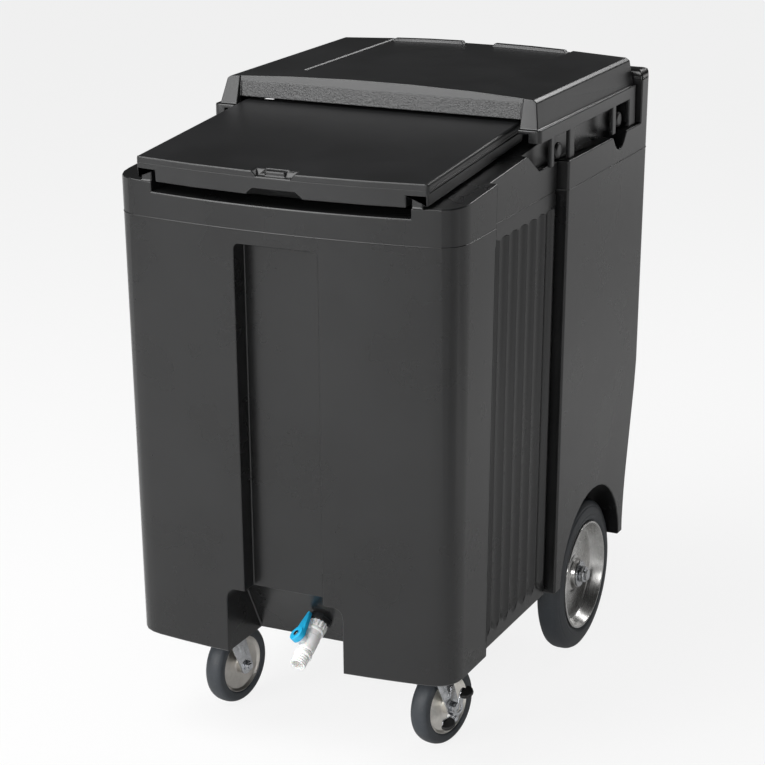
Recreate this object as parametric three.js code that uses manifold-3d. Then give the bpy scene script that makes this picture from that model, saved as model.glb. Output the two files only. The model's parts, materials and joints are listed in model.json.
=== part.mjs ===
// A tall mobile ice bin: an insulated moulded body on two large rear wheels and two
// swivelling front casters, with a sliding lid, a lift-off rear cover, a lift-out
// drain shelf and a drain valve. Millimetres, +Z up, the front faces -Y.
// The origin is on the floor, under the middle of the bin.

import * as THREE from 'three';
import { mergeVertices } from 'three/addons/utils/BufferGeometryUtils.js';
import Module from 'manifold-3d';

// Fits shared by every piece
const seatGap = 0.3;
const runningGap = 0.6;
const overrun = 6;
const weldDistance = 0.0005;
const wheelSides = 24;
const boreSides = 12;
const boltSides = 8;
const hexSides = 6;
const fluteSides = 32;
const archSides = 40;
const curveSteps = 5;

// Moulded body, overall
const bodyLength = 798;
const rearWidth = 560;
const podInset = 5;
const podWidth = rearWidth - 2 * podInset;
const panelInset = 11.5;
const panelWidth = podWidth - 2 * panelInset;
const grooveDepth = 27;
const grooveFloorWidth = rearWidth - 2 * grooveDepth;
const wheelRadius = 127;
const axleDrop = 31;
const undersideHeight = wheelRadius + axleDrop;
const ledgeHeight = 866;
const sideDraft = 10;
const frontDraft = 10;
const frontBow = 17;
const frontCornerRadius = 42;
const rearCornerRadius = 22;
const stepRadius = 4;
const footChamfer = 2;
const podLength = 160;
const grooveWidth = 10;
const rearSectionLength = 369;

// Handle wall across the back, and the slanted foot under it
const handleRise = 86;
const handleHeight = ledgeHeight + handleRise;
const handleThickness = 44;
const handleEdgeRadius = 14;
const handleFootRadius = 3.5;
const gripHeight = 44;
const gripDepth = 28;
const gripWidth = 300;
const gripRadius = 16;
const gripBarHeight = 34;
const slantDepth = 55;
const slantTopRise = 362;
const slantTopHeight = undersideHeight + slantTopRise;
const slantFootRise = 62;
const slantFootHeight = undersideHeight + slantFootRise;
const slantBlend = 55;

// Sloping deck, rails and the coaming that the cover fits over
const deckSlope = THREE.MathUtils.degToRad(4.5);
const deckFrontRise = 7.5;
const deckFrontHeight = ledgeHeight + deckFrontRise;
const deckRearRoom = 499;
const deckReach = bodyLength - deckRearRoom;
const deckDropRun = 49;
const sideLedgeWidth = 28;
const coamingWidth = rearWidth - 2 * sideLedgeWidth;
const coamingRearRoom = 91;
const coamingReach = bodyLength - coamingRearRoom;
const sillDrop = 15;
const sillInset = 46;
const sillWidth = coamingWidth - 2 * sillInset;
const railWidth = 17;
const railHeight = 15.5;
const railSetback = 16;

// Ice bin inside the body
const binSideWall = 80;
const binWidth = rearWidth - 2 * binSideWall;
const binFrontWall = 57;
const binRearWall = 50;
const binFloorWall = 45;
const binFloorHeight = undersideHeight + binFloorWall;
const binCornerRadius = 30;
const wellRoofWall = 34;
const wellSideWall = 41;

// Fluted side panels and the bare front channel
const fluteCount = 7;
const fluteDepth = 6;
const fluteLand = 1.6;
const fluteMargin = 4;
const fluteTopDrop = 69;
const fluteTopHeight = ledgeHeight - fluteTopDrop;
const fluteFootRise = 18;
const fluteFootHeight = undersideHeight + fluteFootRise;
const fluteTopRunout = 4;
const fluteFootRunout = 14;
const channelWidth = 134;
const channelDepth = 32;
const channelTopDrop = 66.5;
const channelTopHeight = ledgeHeight - channelTopDrop;
const channelRadius = 9;

// Drain notch under the channel
const notchWidth = 193;
const notchRise = 104;
const notchHeight = undersideHeight + notchRise;
const notchRoofDepth = 62;
const notchFloorDepth = 120;
const notchRadius = 18;
const drainWall = 40;

// Finger notches in the side ledges
const fingerNotchWidth = 62;
const fingerNotchDepth = 24;
const fingerNotchFoot = 20;
const fingerNotchRearRoom = 144;
const fingerNotchPlace = bodyLength - fingerNotchRearRoom;

// Rear wheels, their axle and its brackets
const wheelWidth = 44;
const wheelInset = 44;
const wheelTrack = rearWidth - 2 * wheelInset;
const axleRearRoom = 196;
const axlePlace = bodyLength - axleRearRoom;
const archGap = 11;
const archRadius = wheelRadius + archGap;
const archForward = 13;
const archRaise = 21;
const wellGap = 8;
const tyreThickness = 36;
const tyreBore = wheelRadius - tyreThickness;
const tyreBead = 18;
const tyreTread = 12;
const lipWidth = 3.5;
const dishDepth = 22;
const dishFlare = 13;
const dishFloorRadius = tyreBore - dishFlare;
const dishWall = 4;
const rimBack = 19;
const hubRadius = 25;
const hubTaper = 2;
const hubOuter = 11;
const hubInner = 20;
const wheelBushRadius = 15;
const axleRadius = 9.5;
const washerRadius = 22;
const washerThickness = 2.2;
const axleNutRadius = 15;
const axleNutThickness = 8.5;
const studLength = 4;
const collarRadius = 14;
const bracketInset = 64;
const bracketPlace = wheelTrack / 2 - bracketInset;
const bracketWidth = 34;
const bracketLength = 116;
const bracketPlate = 5;
const bracketEye = 20;
const bracketCheekFoot = 72;
const bracketBoltRadius = 7;
const bracketBoltHead = 5;
const bracketBoltSpread = 94;

// Front casters
const casterTopRoom = 31;
const casterRadius = (undersideHeight - casterTopRoom) / 2;
const casterWidth = 31;
const casterTrail = 38;
const casterInset = 97;
const casterSpread = podWidth - 2 * casterInset;
const casterSetback = 132;
const leftSwivel = THREE.MathUtils.degToRad(-9.4);
const rightSwivel = THREE.MathUtils.degToRad(-13.9);
const plateLength = 72;
const plateWidth = 96;
const plateThickness = 4;
const plateCorner = 8;
const boltSpreadX = 74;
const boltSpreadY = 50;
const boltRadius = 4;
const boltHeadRadius = 7.2;
const boltHeadHeight = 5;
const boltGrip = 20;
const raceRadius = 29;
const raceHeight = 8;
const raceGroove = 2.5;
const kingpinRadius = 7;
const kingpinHeadRadius = 12;
const kingpinHeadHeight = 3.2;
const forkTopRadius = 31;
const forkThickness = 4;
const forkGap = 39;
const forkFrontReach = 20;
const forkRearReach = 24;
const forkEyeRadius = 14;
const forkRibWidth = 8;
const forkRibHeight = 2;
const casterTyreThickness = 17.5;
const casterTyreBore = casterRadius - casterTyreThickness;
const casterTyreBead = 14;
const casterWebDish = 5;
const casterHubRadius = 13;
const casterBushRadius = 8.5;
const casterBoltRadius = 5;
const casterBoltHeadRadius = 9;
const casterBoltHeadHeight = 4.5;
const casterNutHeight = 5;
const casterBoltTail = 2;

// Foot brake on the right-hand caster: a rocker plate with a tread at each end, placed from the axle
const rockerGap = 7.7;
const rockerThickness = 2.6;
const rockerWidth = 12;
const rockerEyeRadius = 11;
const rockerWindow = 6.5;
const rockerPivot = [-8, -13.5];
const rockerPinRadius = 2.4;
const rockerPinHead = 4.5;
const rockerPinHeadThickness = 2;
const rockerBossRadius = 6;
const upperTread = [11, 24.5];
const lowerTread = [-34, -11.5];
const treadReach = 16;
const treadWidth = 23;
const treadThickness = 6;
const treadTilt = THREE.MathUtils.degToRad(25);

// Drain valve
const drainOffset = 18;
const drainRise = 41;
const drainHeight = undersideHeight + drainRise;
const drainRoll = THREE.MathUtils.degToRad(30);
const gasketRadius = 18;
const gasketThickness = 3;
const bulkheadFlangeRadius = 17;
const bulkheadFlangeThickness = 5;
const shankRadius = 10.5;
const shankReach = 12;
const shankSocket = 5;
const drainBore = 6.5;
const bulkheadNutRadius = 16;
const bulkheadNutThickness = 8;
const unionRadius = 15.5;
const unionLength = 12;
const unionRibDepth = 1.2;
const unionRibs = 12;
const valveRadius = 13.5;
const valveWaist = 1.5;
const valveLength = 46;
const ballRadius = 10;
const ballPlace = 28;
const stemRadius = 3.5;
const stemBossRadius = 8;
const stemBossHeight = 19;
const leverThickness = 7;
const leverHubRadius = 12.5;
const leverLength = 45;
const leverNeckWidth = 15;
const leverTipWidth = 6;
const screwRadius = 2;
const screwHeadRadius = 4.5;
const screwHeadHeight = 2.6;
const screwDepth = 8;
const spoutRadius = 12;
const spoutLength = 22;
const spoutMouth = 8.5;
const spoutCollar = 5;
const spoutCollarRadius = 14;
const spoutThreads = 3;
const spoutThreadDepth = 1;

// Sliding lid
const lidInset = 20.5;
const lidWidth = coamingWidth - 2 * lidInset;
const lidBow = 15;
const lidSetback = 2;
const lidOverlap = 31;
const lidTopThickness = 14.5;
const lidEdge = 3;
const lidSeamStep = 0.8;
const lidFlangeWidth = 5.5;
const lidFlangeLift = 3;
const lidChannelRoof = 5;
const lidCornerRadius = 8;
const lidCoreDrop = 0.5;
const lidCoreGap = 7;
const pullWidth = 88;
const pullHeight = 8.5;
const pullDepth = 15;
const pullSlope = 11;
const thumbWidth = 68;
const thumbHeight = 8;
const thumbDepth = 16;
const thumbSlope = 7;
const thumbTabWidth = 31;
const thumbTabSetback = 7;

// Rear cover
const skirtInset = 7;
const coverSkirtWidth = rearWidth - 2 * skirtInset;
const flangeInset = 7;
const coverFlangeWidth = coverSkirtWidth - 2 * flangeInset;
const coverSideLean = 9;
const coverTopWidth = coverFlangeWidth - 2 * coverSideLean;
const coverFlangeRise = 64;
const coverFlangeHeight = ledgeHeight + coverFlangeRise;
const coverTopRise = 42;
const coverTopHeight = coverFlangeHeight + coverTopRise;
const coverCrown = 8;
const coverTopEdge = 4;
const coverFrontLean = 13;
const coverFrontRoom = 467;
const coverFrontReach = bodyLength - coverFrontRoom;
const lidLength = coverFrontReach - lidSetback + lidOverlap;
const coverSkirtLead = 8;
const coverSkirtReach = coverFrontReach - coverSkirtLead;
const coverPostSetback = 40;
const coverPostReach = coverFrontReach + coverPostSetback;
const coverRearGap = 4;
const coverWall = 7;
const coverRoof = 6;
const skirtBandHeight = 19.5;
const skirtThickness = 7;
const skirtCornerRadius = 10;
const skirtGroove = 2;
const skirtReturn = 19;
const skirtWindows = [
  { post: 12, window: 64 },
  { post: 20, window: 170 },
  { post: 15, window: 62 },
];
const fasciaInset = 20;
const fasciaWidth = coverTopWidth - 2 * fasciaInset;
const fasciaFootSetback = 9;
const fasciaHeadSetback = 2;
const fasciaLift = 11;
const coverPanelInset = 97;
const coverPanelWidth = coverTopWidth - 2 * coverPanelInset;
const coverPanelDepth = 2.5;
const coverPanelBorder = 67;
const ridgeHeight = 5;
const ridgeWidth = 12;
const ridgeGap = 42;
const ridgeEndSlope = 8;
const ridgeSetback = 8;

// Knobs on the coaming, behind the cover's side windows
const knobSetback = 53;
const knobSpread = 265;
const knobReaches = [coverPostReach + knobSetback, coverPostReach + knobSetback + knobSpread];
const knobRise = 16;
const knobHeight = ledgeHeight + knobRise;
const knobRadius = 13;
const knobEdge = 3;
const knobNeckRadius = 6;
const knobNeckLength = 8;
const knobHeadLength = 6;
const knobSocketDepth = 10;

// Drain shelf on the bin floor
const shelfSideGap = 37;
const shelfWidth = binWidth - 2 * shelfSideGap;
const shelfFrontRoom = 110;
const shelfLength = coamingReach - binFrontWall - binRearWall - shelfFrontRoom;
const shelfThickness = 5;
const shelfLegHeight = 24;
const shelfLegSize = 26;
const shelfCornerRadius = 20;
const shelfSlotLand = 18.5;
const shelfSlotWidth = 15;
const shelfColumns = 4;
const shelfRows = 9;
const shelfBorder = 22;
const shelfRearGap = 6;

// Colours
const black = 0x1c1d1f;
const satinBlack = 0x212225;
const rubberBlack = 0x232426;
const tyreGrey = 0x5b656e;
const aluminium = 0xb8bbbf;
const zinc = 0xc2c6ca;
const nickel = 0xd6d7d9;
const valveWhite = 0xe8e8e3;
const leverBlue = 0x2a5fae;
const shelfGrey = 0x8b8f94;

// Places that follow from the sizes
const frontY = -bodyLength / 2;
const rearY = bodyLength / 2;
const podRearY = frontY + podLength;
const grooveRearY = rearY - rearSectionLength;
const grooveFrontY = grooveRearY - grooveWidth;
const handleFrontY = rearY - handleThickness;
const deckEndY = frontY + deckReach;
const coamingRearY = frontY + coamingReach;
const binFrontY = frontY + binFrontWall;
const binRearY = coamingRearY - binRearWall;
const notchRoofY = frontY + notchRoofDepth;
const notchFloorY = frontY + notchFloorDepth;
const axleY = frontY + axlePlace;
const archY = axleY - archForward;
const archHeight = wheelRadius + archRaise;
const wellInnerX = (wheelTrack - wheelWidth) / 2 - wellGap;
const plateTop = undersideHeight - seatGap;
const notchRun = notchFloorY - notchRoofY;
const notchTilt = Math.atan2(notchRise, -notchRun);
const binWallShift = drainWall * Math.hypot(notchRise, notchRun) / notchRise;
const lidRoofHeight = railHeight * Math.cos(deckSlope) + seatGap;
const lidSeamHeight = lidRoofHeight + lidChannelRoof;
const lidTopHeight = lidSeamHeight + lidTopThickness;
const coverRearY = handleFrontY - coverRearGap;
const coverFrontY = frontY + coverFrontReach;
const coverFootHeight = ledgeHeight + seatGap;
const bandFootHeight = coverFlangeHeight - skirtBandHeight;

const wasm = await Module();
wasm.setup();

// Closed meshes in and out of the solid library, which only joins and cuts here
function solidOf(geometry) {
  const bare = geometry.clone();
  bare.deleteAttribute('normal');
  bare.deleteAttribute('uv');
  const merged = mergeVertices(bare, weldDistance);
  const corners = merged.index.array;
  const kept = [];
  for (let i = 0; i < corners.length; i += 3) {
    const [a, b, c] = [corners[i], corners[i + 1], corners[i + 2]];
    if (a !== b && b !== c && c !== a) {
      kept.push(a, b, c);
    }
  }
  const vertProperties = new Float32Array(merged.attributes.position.array);
  return new wasm.Manifold(new wasm.Mesh({ numProp: 3, vertProperties, triVerts: new Uint32Array(kept) }));
}

function geometryOf(solid) {
  const mesh = solid.getMesh();
  const geometry = new THREE.BufferGeometry();
  geometry.setAttribute('position', new THREE.BufferAttribute(new Float32Array(mesh.vertProperties), 3));
  geometry.setIndex(new THREE.BufferAttribute(new Uint32Array(mesh.triVerts), 1));
  geometry.computeVertexNormals();
  return geometry;
}

function join(first, ...others) {
  return geometryOf(others.reduce((whole, other) => whole.add(solidOf(other)), solidOf(first)));
}

function cut(first, ...tools) {
  return geometryOf(tools.reduce((rest, tool) => rest.subtract(solidOf(tool)), solidOf(first)));
}

function common(first, ...others) {
  return geometryOf(others.reduce((rest, other) => rest.intersect(solidOf(other)), solidOf(first)));
}

// A copy on the other side of the X = 0 plane, with its faces still pointing out
function mirrored(geometry) {
  const copy = mergeVertices(geometry.clone().deleteAttribute('normal').deleteAttribute('uv'), weldDistance);
  const corners = copy.index.array;
  for (let i = 0; i < corners.length; i += 3) {
    const second = corners[i + 1];
    corners[i + 1] = corners[i + 2];
    corners[i + 2] = second;
  }
  return copy.scale(-1, 1, 1);
}

function bothSides(geometry) {
  return [geometry, mirrored(geometry)];
}

// Outlines and the three ways to give one a thickness
function outline(points) {
  return new THREE.Shape(points.map(([u, v]) => new THREE.Vector2(u, v)));
}

function roundedOutline(left, right, low, high, radius) {
  const shape = new THREE.Shape();
  shape.moveTo(left + radius, low);
  shape.lineTo(right - radius, low);
  shape.quadraticCurveTo(right, low, right, low + radius);
  shape.lineTo(right, high - radius);
  shape.quadraticCurveTo(right, high, right - radius, high);
  shape.lineTo(left + radius, high);
  shape.quadraticCurveTo(left, high, left, high - radius);
  shape.lineTo(left, low + radius);
  shape.quadraticCurveTo(left, low, left + radius, low);
  return shape;
}

// A plan (x, y) raised from one height to another
function upward(shape, low, high) {
  const settings = { depth: high - low, bevelEnabled: false, curveSegments: curveSteps };
  return new THREE.ExtrudeGeometry(shape, settings).translate(0, 0, low);
}

// A side view (y, z) carried across from one x to another
function across(shape, left, right) {
  const settings = { depth: right - left, bevelEnabled: false, curveSegments: curveSteps };
  const axes = new THREE.Matrix4().makeBasis(
    new THREE.Vector3(0, 1, 0),
    new THREE.Vector3(0, 0, 1),
    new THREE.Vector3(1, 0, 0),
  );
  return new THREE.ExtrudeGeometry(shape, settings).applyMatrix4(axes).translate(left, 0, 0);
}

// A front view (x, z) carried back from one y to another
function rearward(shape, front, rear) {
  const settings = { depth: rear - front, bevelEnabled: false, curveSegments: curveSteps };
  const axes = new THREE.Matrix4().makeBasis(
    new THREE.Vector3(1, 0, 0),
    new THREE.Vector3(0, 0, 1),
    new THREE.Vector3(0, -1, 0),
  );
  return new THREE.ExtrudeGeometry(shape, settings).applyMatrix4(axes).translate(0, rear, 0);
}

// A block between two corners
function block(left, right, front, rear, low, high) {
  const size = new THREE.BoxGeometry(right - left, rear - front, high - low);
  return size.translate((left + right) / 2, (front + rear) / 2, (low + high) / 2);
}

// A profile of [radius, height] points turned round the Z axis
function turned(profile, sides) {
  let turns = 0;
  profile.forEach(([radius, height], i) => {
    const [nextRadius, nextHeight] = profile[(i + 1) % profile.length];
    turns += radius * nextHeight - nextRadius * height;
  });
  const ordered = turns > 0 ? profile : [...profile].reverse();
  const points = ordered.map(([radius, height]) => new THREE.Vector2(radius, height));
  if (ordered.every(([radius]) => radius > 0)) {
    points.push(points[0].clone());
  }
  return new THREE.LatheGeometry(points, sides).rotateX(Math.PI / 2);
}

function rod(radius, low, high, sides) {
  return turned([[0, low], [radius, low], [radius, high], [0, high]], sides);
}

function ring(inner, outer, low, high, sides) {
  return turned([[inner, low], [outer, low], [outer, high], [inner, high]], sides);
}

function alongX(geometry) {
  return geometry.rotateY(Math.PI / 2);
}

function alongY(geometry) {
  return geometry.rotateX(-Math.PI / 2);
}

function finish(color, roughness, metalness) {
  return new THREE.MeshStandardMaterial({ color, roughness, metalness });
}

function piece(name, geometry, material) {
  const mesh = new THREE.Mesh(geometry, material);
  mesh.name = name;
  return mesh;
}

// Heights and places along the slopes
function deckHeightAt(y) {
  return deckFrontHeight + (y - frontY) * Math.tan(deckSlope);
}

function notchWallAt(height) {
  return notchRoofY + (notchHeight - height) * notchRun / notchRise;
}

// Moulded body: half a plan outline raised and mirrored, leaned in by its draft, then cut.
// Each half reaches one step of the front bow past the middle, so the two overlap.
function halfBodyOutline() {
  const cornerX = podWidth / 2 - frontCornerRadius;
  const cornerY = frontY + frontBow;
  const cornerEnd = cornerY + frontCornerRadius * 2 * frontBow / cornerX;
  const half = new THREE.Path();
  half.moveTo(0, frontY);
  half.quadraticCurveTo(cornerX / 2, frontY, cornerX, cornerY);
  half.quadraticCurveTo(podWidth / 2, cornerEnd, podWidth / 2, cornerEnd + frontCornerRadius);
  half.lineTo(podWidth / 2, podRearY - stepRadius);
  half.quadraticCurveTo(podWidth / 2, podRearY, podWidth / 2 - stepRadius, podRearY);
  half.lineTo(panelWidth / 2, podRearY);
  half.lineTo(panelWidth / 2, grooveFrontY);
  half.lineTo(grooveFloorWidth / 2, grooveFrontY);
  half.lineTo(grooveFloorWidth / 2, grooveRearY);
  half.lineTo(rearWidth / 2 - stepRadius, grooveRearY);
  half.quadraticCurveTo(rearWidth / 2, grooveRearY, rearWidth / 2, grooveRearY + stepRadius);
  half.lineTo(rearWidth / 2, rearY - rearCornerRadius);
  half.quadraticCurveTo(rearWidth / 2, rearY, rearWidth / 2 - rearCornerRadius, rearY);
  const points = half.getPoints(curveSteps);
  const past = new THREE.Vector2(-points[1].x, points[1].y);
  return new THREE.Shape([new THREE.Vector2(past.x, rearY), past, ...points]);
}

function bodyBlock() {
  const settings = {
    depth: handleHeight + overrun - undersideHeight - 2 * footChamfer,
    bevelThickness: footChamfer,
    bevelSize: footChamfer,
    bevelOffset: -footChamfer,
    bevelSegments: 1,
  };
  const half = new THREE.ExtrudeGeometry(halfBodyOutline(), settings);
  return join(...bothSides(half.translate(0, 0, undersideHeight + footChamfer)));
}

function fluteCutters() {
  const pitch = (grooveFrontY - podRearY - 2 * fluteMargin) / fluteCount;
  const chord = pitch - fluteLand;
  const radius = (chord * chord / 4 + fluteDepth * fluteDepth) / (2 * fluteDepth);
  const profile = [
    [0, fluteFootHeight],
    [radius - fluteDepth, fluteFootHeight],
    [radius, fluteFootHeight + fluteFootRunout],
    [radius, fluteTopHeight - fluteTopRunout],
    [radius - fluteDepth, fluteTopHeight],
    [0, fluteTopHeight],
  ];
  const cutters = [];
  for (let i = 0; i < fluteCount; i += 1) {
    const place = podRearY + fluteMargin + pitch * (i + 0.5);
    const cutter = turned(profile, fluteSides).translate(panelWidth / 2 - fluteDepth + radius, place, 0);
    cutters.push(...bothSides(cutter));
  }
  return cutters;
}

function channelCutter() {
  const low = notchHeight - notchRadius - overrun;
  const shape = roundedOutline(-channelWidth / 2, channelWidth / 2, low, channelTopHeight, channelRadius);
  return rearward(shape, frontY - overrun, frontY + channelDepth);
}

function lean(geometry) {
  const places = geometry.attributes.position;
  for (let i = 0; i < places.count; i += 1) {
    const share = (ledgeHeight - places.getZ(i)) / (ledgeHeight - undersideHeight);
    const ahead = Math.max(0, podRearY - places.getY(i)) / podLength;
    places.setX(i, places.getX(i) * (1 - share * sideDraft / (rearWidth / 2)));
    places.setY(i, places.getY(i) + share * frontDraft * ahead);
  }
  return geometry;
}

function handleTop(shape) {
  shape.lineTo(handleFrontY - handleFootRadius, ledgeHeight);
  shape.quadraticCurveTo(handleFrontY, ledgeHeight, handleFrontY, ledgeHeight + handleFootRadius);
  shape.lineTo(handleFrontY, handleHeight - handleEdgeRadius);
  shape.quadraticCurveTo(handleFrontY, handleHeight, handleFrontY + handleEdgeRadius, handleHeight);
  shape.lineTo(rearY - handleEdgeRadius, handleHeight);
  shape.quadraticCurveTo(rearY, handleHeight, rearY, handleHeight - handleEdgeRadius);
  shape.lineTo(rearY + overrun, handleHeight - handleEdgeRadius);
  shape.lineTo(rearY + overrun, handleHeight + 2 * overrun);
  shape.lineTo(frontY - overrun, handleHeight + 2 * overrun);
}

function sideTopCutters() {
  const shape = new THREE.Shape();
  shape.moveTo(frontY - overrun, deckHeightAt(frontY - overrun));
  shape.lineTo(deckEndY, deckHeightAt(deckEndY));
  shape.lineTo(deckEndY + deckDropRun, ledgeHeight);
  handleTop(shape);
  return bothSides(across(shape, coamingWidth / 2, rearWidth / 2 + overrun));
}

function middleTopCutter() {
  const shape = new THREE.Shape();
  shape.moveTo(frontY - overrun, deckHeightAt(frontY - overrun));
  shape.lineTo(coamingRearY, deckHeightAt(coamingRearY));
  shape.lineTo(coamingRearY, ledgeHeight);
  handleTop(shape);
  return across(shape, -coamingWidth / 2, coamingWidth / 2);
}

function sillCutter() {
  const start = frontY - overrun;
  const end = coamingRearY + handleFootRadius;
  const shape = outline([
    [start, deckHeightAt(start) - sillDrop],
    [end, deckHeightAt(end) - sillDrop],
    [end, deckHeightAt(end) + overrun],
    [start, deckHeightAt(start) + overrun],
  ]);
  return across(shape, -sillWidth / 2, sillWidth / 2);
}

function handleEndCutters() {
  const side = rearWidth / 2;
  const shape = new THREE.Shape();
  shape.moveTo(side + overrun, handleHeight - handleEdgeRadius);
  shape.lineTo(side, handleHeight - handleEdgeRadius);
  shape.quadraticCurveTo(side, handleHeight, side - handleEdgeRadius, handleHeight);
  shape.lineTo(side - handleEdgeRadius, handleHeight + overrun);
  shape.lineTo(side + overrun, handleHeight + overrun);
  return bothSides(rearward(shape, handleFrontY - overrun, rearY + overrun));
}

function gripCutter() {
  const high = handleHeight - gripBarHeight;
  const shape = roundedOutline(-gripWidth / 2, gripWidth / 2, high - gripHeight, high, gripRadius);
  return rearward(shape, rearY - gripDepth, rearY + overrun);
}

function slantCutter() {
  const share = slantBlend / (slantTopHeight - slantFootHeight);
  const shape = new THREE.Shape();
  shape.moveTo(rearY + overrun, slantTopHeight + slantBlend);
  shape.lineTo(rearY, slantTopHeight + slantBlend);
  shape.quadraticCurveTo(rearY, slantTopHeight, rearY - slantDepth * share, slantTopHeight - slantBlend);
  shape.lineTo(rearY - slantDepth * (1 - share), slantFootHeight + slantBlend);
  shape.quadraticCurveTo(
    rearY - slantDepth,
    slantFootHeight,
    rearY - slantDepth,
    undersideHeight - overrun,
  );
  shape.lineTo(rearY + overrun, undersideHeight - overrun);
  return across(shape, -rearWidth / 2 - overrun, rearWidth / 2 + overrun);
}

function archCutters() {
  const arch = alongX(rod(archRadius, wellInnerX, rearWidth / 2 + overrun, archSides));
  return bothSides(arch.translate(0, archY, archHeight));
}

function notchCutter() {
  const side = outline([
    [frontY - overrun, undersideHeight - overrun],
    [notchWallAt(undersideHeight - overrun), undersideHeight - overrun],
    [notchWallAt(notchHeight), notchHeight],
    [frontY - overrun, notchHeight],
  ]);
  const low = undersideHeight - notchRadius - overrun;
  const front = roundedOutline(-notchWidth / 2, notchWidth / 2, low, notchHeight, notchRadius);
  return common(
    across(side, -notchWidth / 2, notchWidth / 2),
    rearward(front, frontY - overrun, notchFloorY + overrun),
  );
}

function binCutter() {
  const top = handleHeight;
  const floorStartY = notchWallAt(binFloorHeight) + binWallShift;
  const meetHeight = notchHeight + (notchRoofY + binWallShift - binFrontY) * notchRise / notchRun;
  const side = outline([
    [binFrontY, top],
    [binFrontY, meetHeight],
    [floorStartY, binFloorHeight],
    [binRearY, binFloorHeight],
    [binRearY, top],
  ]);
  const plan = roundedOutline(-binWidth / 2, binWidth / 2, binFrontY, binRearY, binCornerRadius);
  const room = common(
    across(side, -binWidth / 2, binWidth / 2),
    upward(plan, binFloorHeight - overrun, top + overrun),
  );
  const cover = block(
    wellInnerX - wellSideWall,
    rearWidth / 2,
    archY - archRadius - wellRoofWall,
    rearY,
    undersideHeight,
    archHeight + archRadius + wellRoofWall,
  );
  return cut(room, ...bothSides(cover));
}

function fingerNotchCutters() {
  const middle = frontY + fingerNotchPlace;
  const foot = ledgeHeight - fingerNotchDepth;
  const bend = foot + fingerNotchFoot / 2;
  const shape = new THREE.Shape();
  shape.moveTo(middle - fingerNotchWidth / 2, ledgeHeight + overrun);
  shape.lineTo(middle - fingerNotchWidth / 2, ledgeHeight);
  shape.lineTo(middle - fingerNotchFoot, bend);
  shape.quadraticCurveTo(middle - fingerNotchFoot / 2, foot, middle, foot);
  shape.quadraticCurveTo(middle + fingerNotchFoot / 2, foot, middle + fingerNotchFoot, bend);
  shape.lineTo(middle + fingerNotchWidth / 2, ledgeHeight);
  shape.lineTo(middle + fingerNotchWidth / 2, ledgeHeight + overrun);
  return bothSides(across(shape, coamingWidth / 2, rearWidth / 2 + overrun));
}

function railBars() {
  const start = frontY + railSetback;
  const shape = outline([
    [start, deckHeightAt(start) - sillDrop],
    [coamingRearY, deckHeightAt(coamingRearY) - sillDrop],
    [coamingRearY, deckHeightAt(coamingRearY) + railHeight],
    [start, deckHeightAt(start) + railHeight],
  ]);
  return bothSides(across(shape, sillWidth / 2, sillWidth / 2 + railWidth));
}

function knobSockets() {
  const outer = coamingWidth / 2 + overrun;
  const inner = coamingWidth / 2 - knobSocketDepth;
  return knobReaches.flatMap((reach) => {
    const socket = rod(knobNeckRadius + seatGap, inner, outer, boreSides);
    return bothSides(alongX(socket).translate(0, frontY + reach, knobHeight));
  });
}

function casterBoltPlaces(side) {
  const places = [];
  for (const x of [-boltSpreadX / 2, boltSpreadX / 2]) {
    for (const y of [-boltSpreadY / 2, boltSpreadY / 2]) {
      places.push([side * casterSpread / 2 + x, frontY + casterSetback + y]);
    }
  }
  return places;
}

function casterBoltHoles() {
  const low = undersideHeight - overrun;
  const high = undersideHeight + boltGrip + seatGap;
  return [...casterBoltPlaces(-1), ...casterBoltPlaces(1)].map(([x, y]) => (
    rod(boltRadius + seatGap, low, high, boltSides).translate(x, y, 0)
  ));
}

function drainHole() {
  const hole = rod(shankRadius + seatGap, -drainWall - overrun, overrun, boreSides).rotateX(notchTilt);
  return hole.translate(drainOffset, notchWallAt(drainHeight), drainHeight);
}

function bodyShell() {
  const leaned = lean(cut(bodyBlock(), ...fluteCutters(), channelCutter()));
  const shaped = cut(
    leaned,
    ...sideTopCutters(),
    middleTopCutter(),
    sillCutter(),
    ...handleEndCutters(),
    gripCutter(),
    slantCutter(),
    ...archCutters(),
    notchCutter(),
    ...fingerNotchCutters(),
  );
  return cut(
    join(shaped, ...railBars()),
    binCutter(),
    ...knobSockets(),
    ...casterBoltHoles(),
    drainHole(),
  );
}

// Sliding lid, drawn flat on the deck plane and tipped to the deck's slope
function halfLidSection() {
  const side = lidWidth / 2;
  const inside = side - lidFlangeWidth;
  const core = sillWidth / 2 - lidCoreGap;
  return outline([
    [0, -lidCoreDrop],
    [0, lidTopHeight],
    [side - lidEdge, lidTopHeight],
    [side, lidTopHeight - lidEdge],
    [side, lidSeamHeight],
    [side - lidSeamStep, lidSeamHeight],
    [side - lidSeamStep, lidFlangeLift],
    [inside, lidFlangeLift],
    [inside, lidRoofHeight],
    [core, lidRoofHeight],
    [core, -lidCoreDrop],
  ]);
}

function lidPlan() {
  const side = lidWidth / 2;
  const shape = new THREE.Shape();
  shape.moveTo(-side + lidCornerRadius, lidBow);
  shape.quadraticCurveTo(0, -lidBow, side - lidCornerRadius, lidBow);
  shape.quadraticCurveTo(side, lidBow, side, lidBow + lidCornerRadius);
  shape.lineTo(side, lidLength);
  shape.lineTo(-side, lidLength);
  shape.lineTo(-side, lidBow + lidCornerRadius);
  shape.quadraticCurveTo(-side, lidBow, -side + lidCornerRadius, lidBow);
  return shape;
}

function trapezium(width, slope, low, high) {
  return outline([
    [-width / 2, low],
    [width / 2, low],
    [width / 2 - slope, high],
    [-width / 2 + slope, high],
  ]);
}

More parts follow.
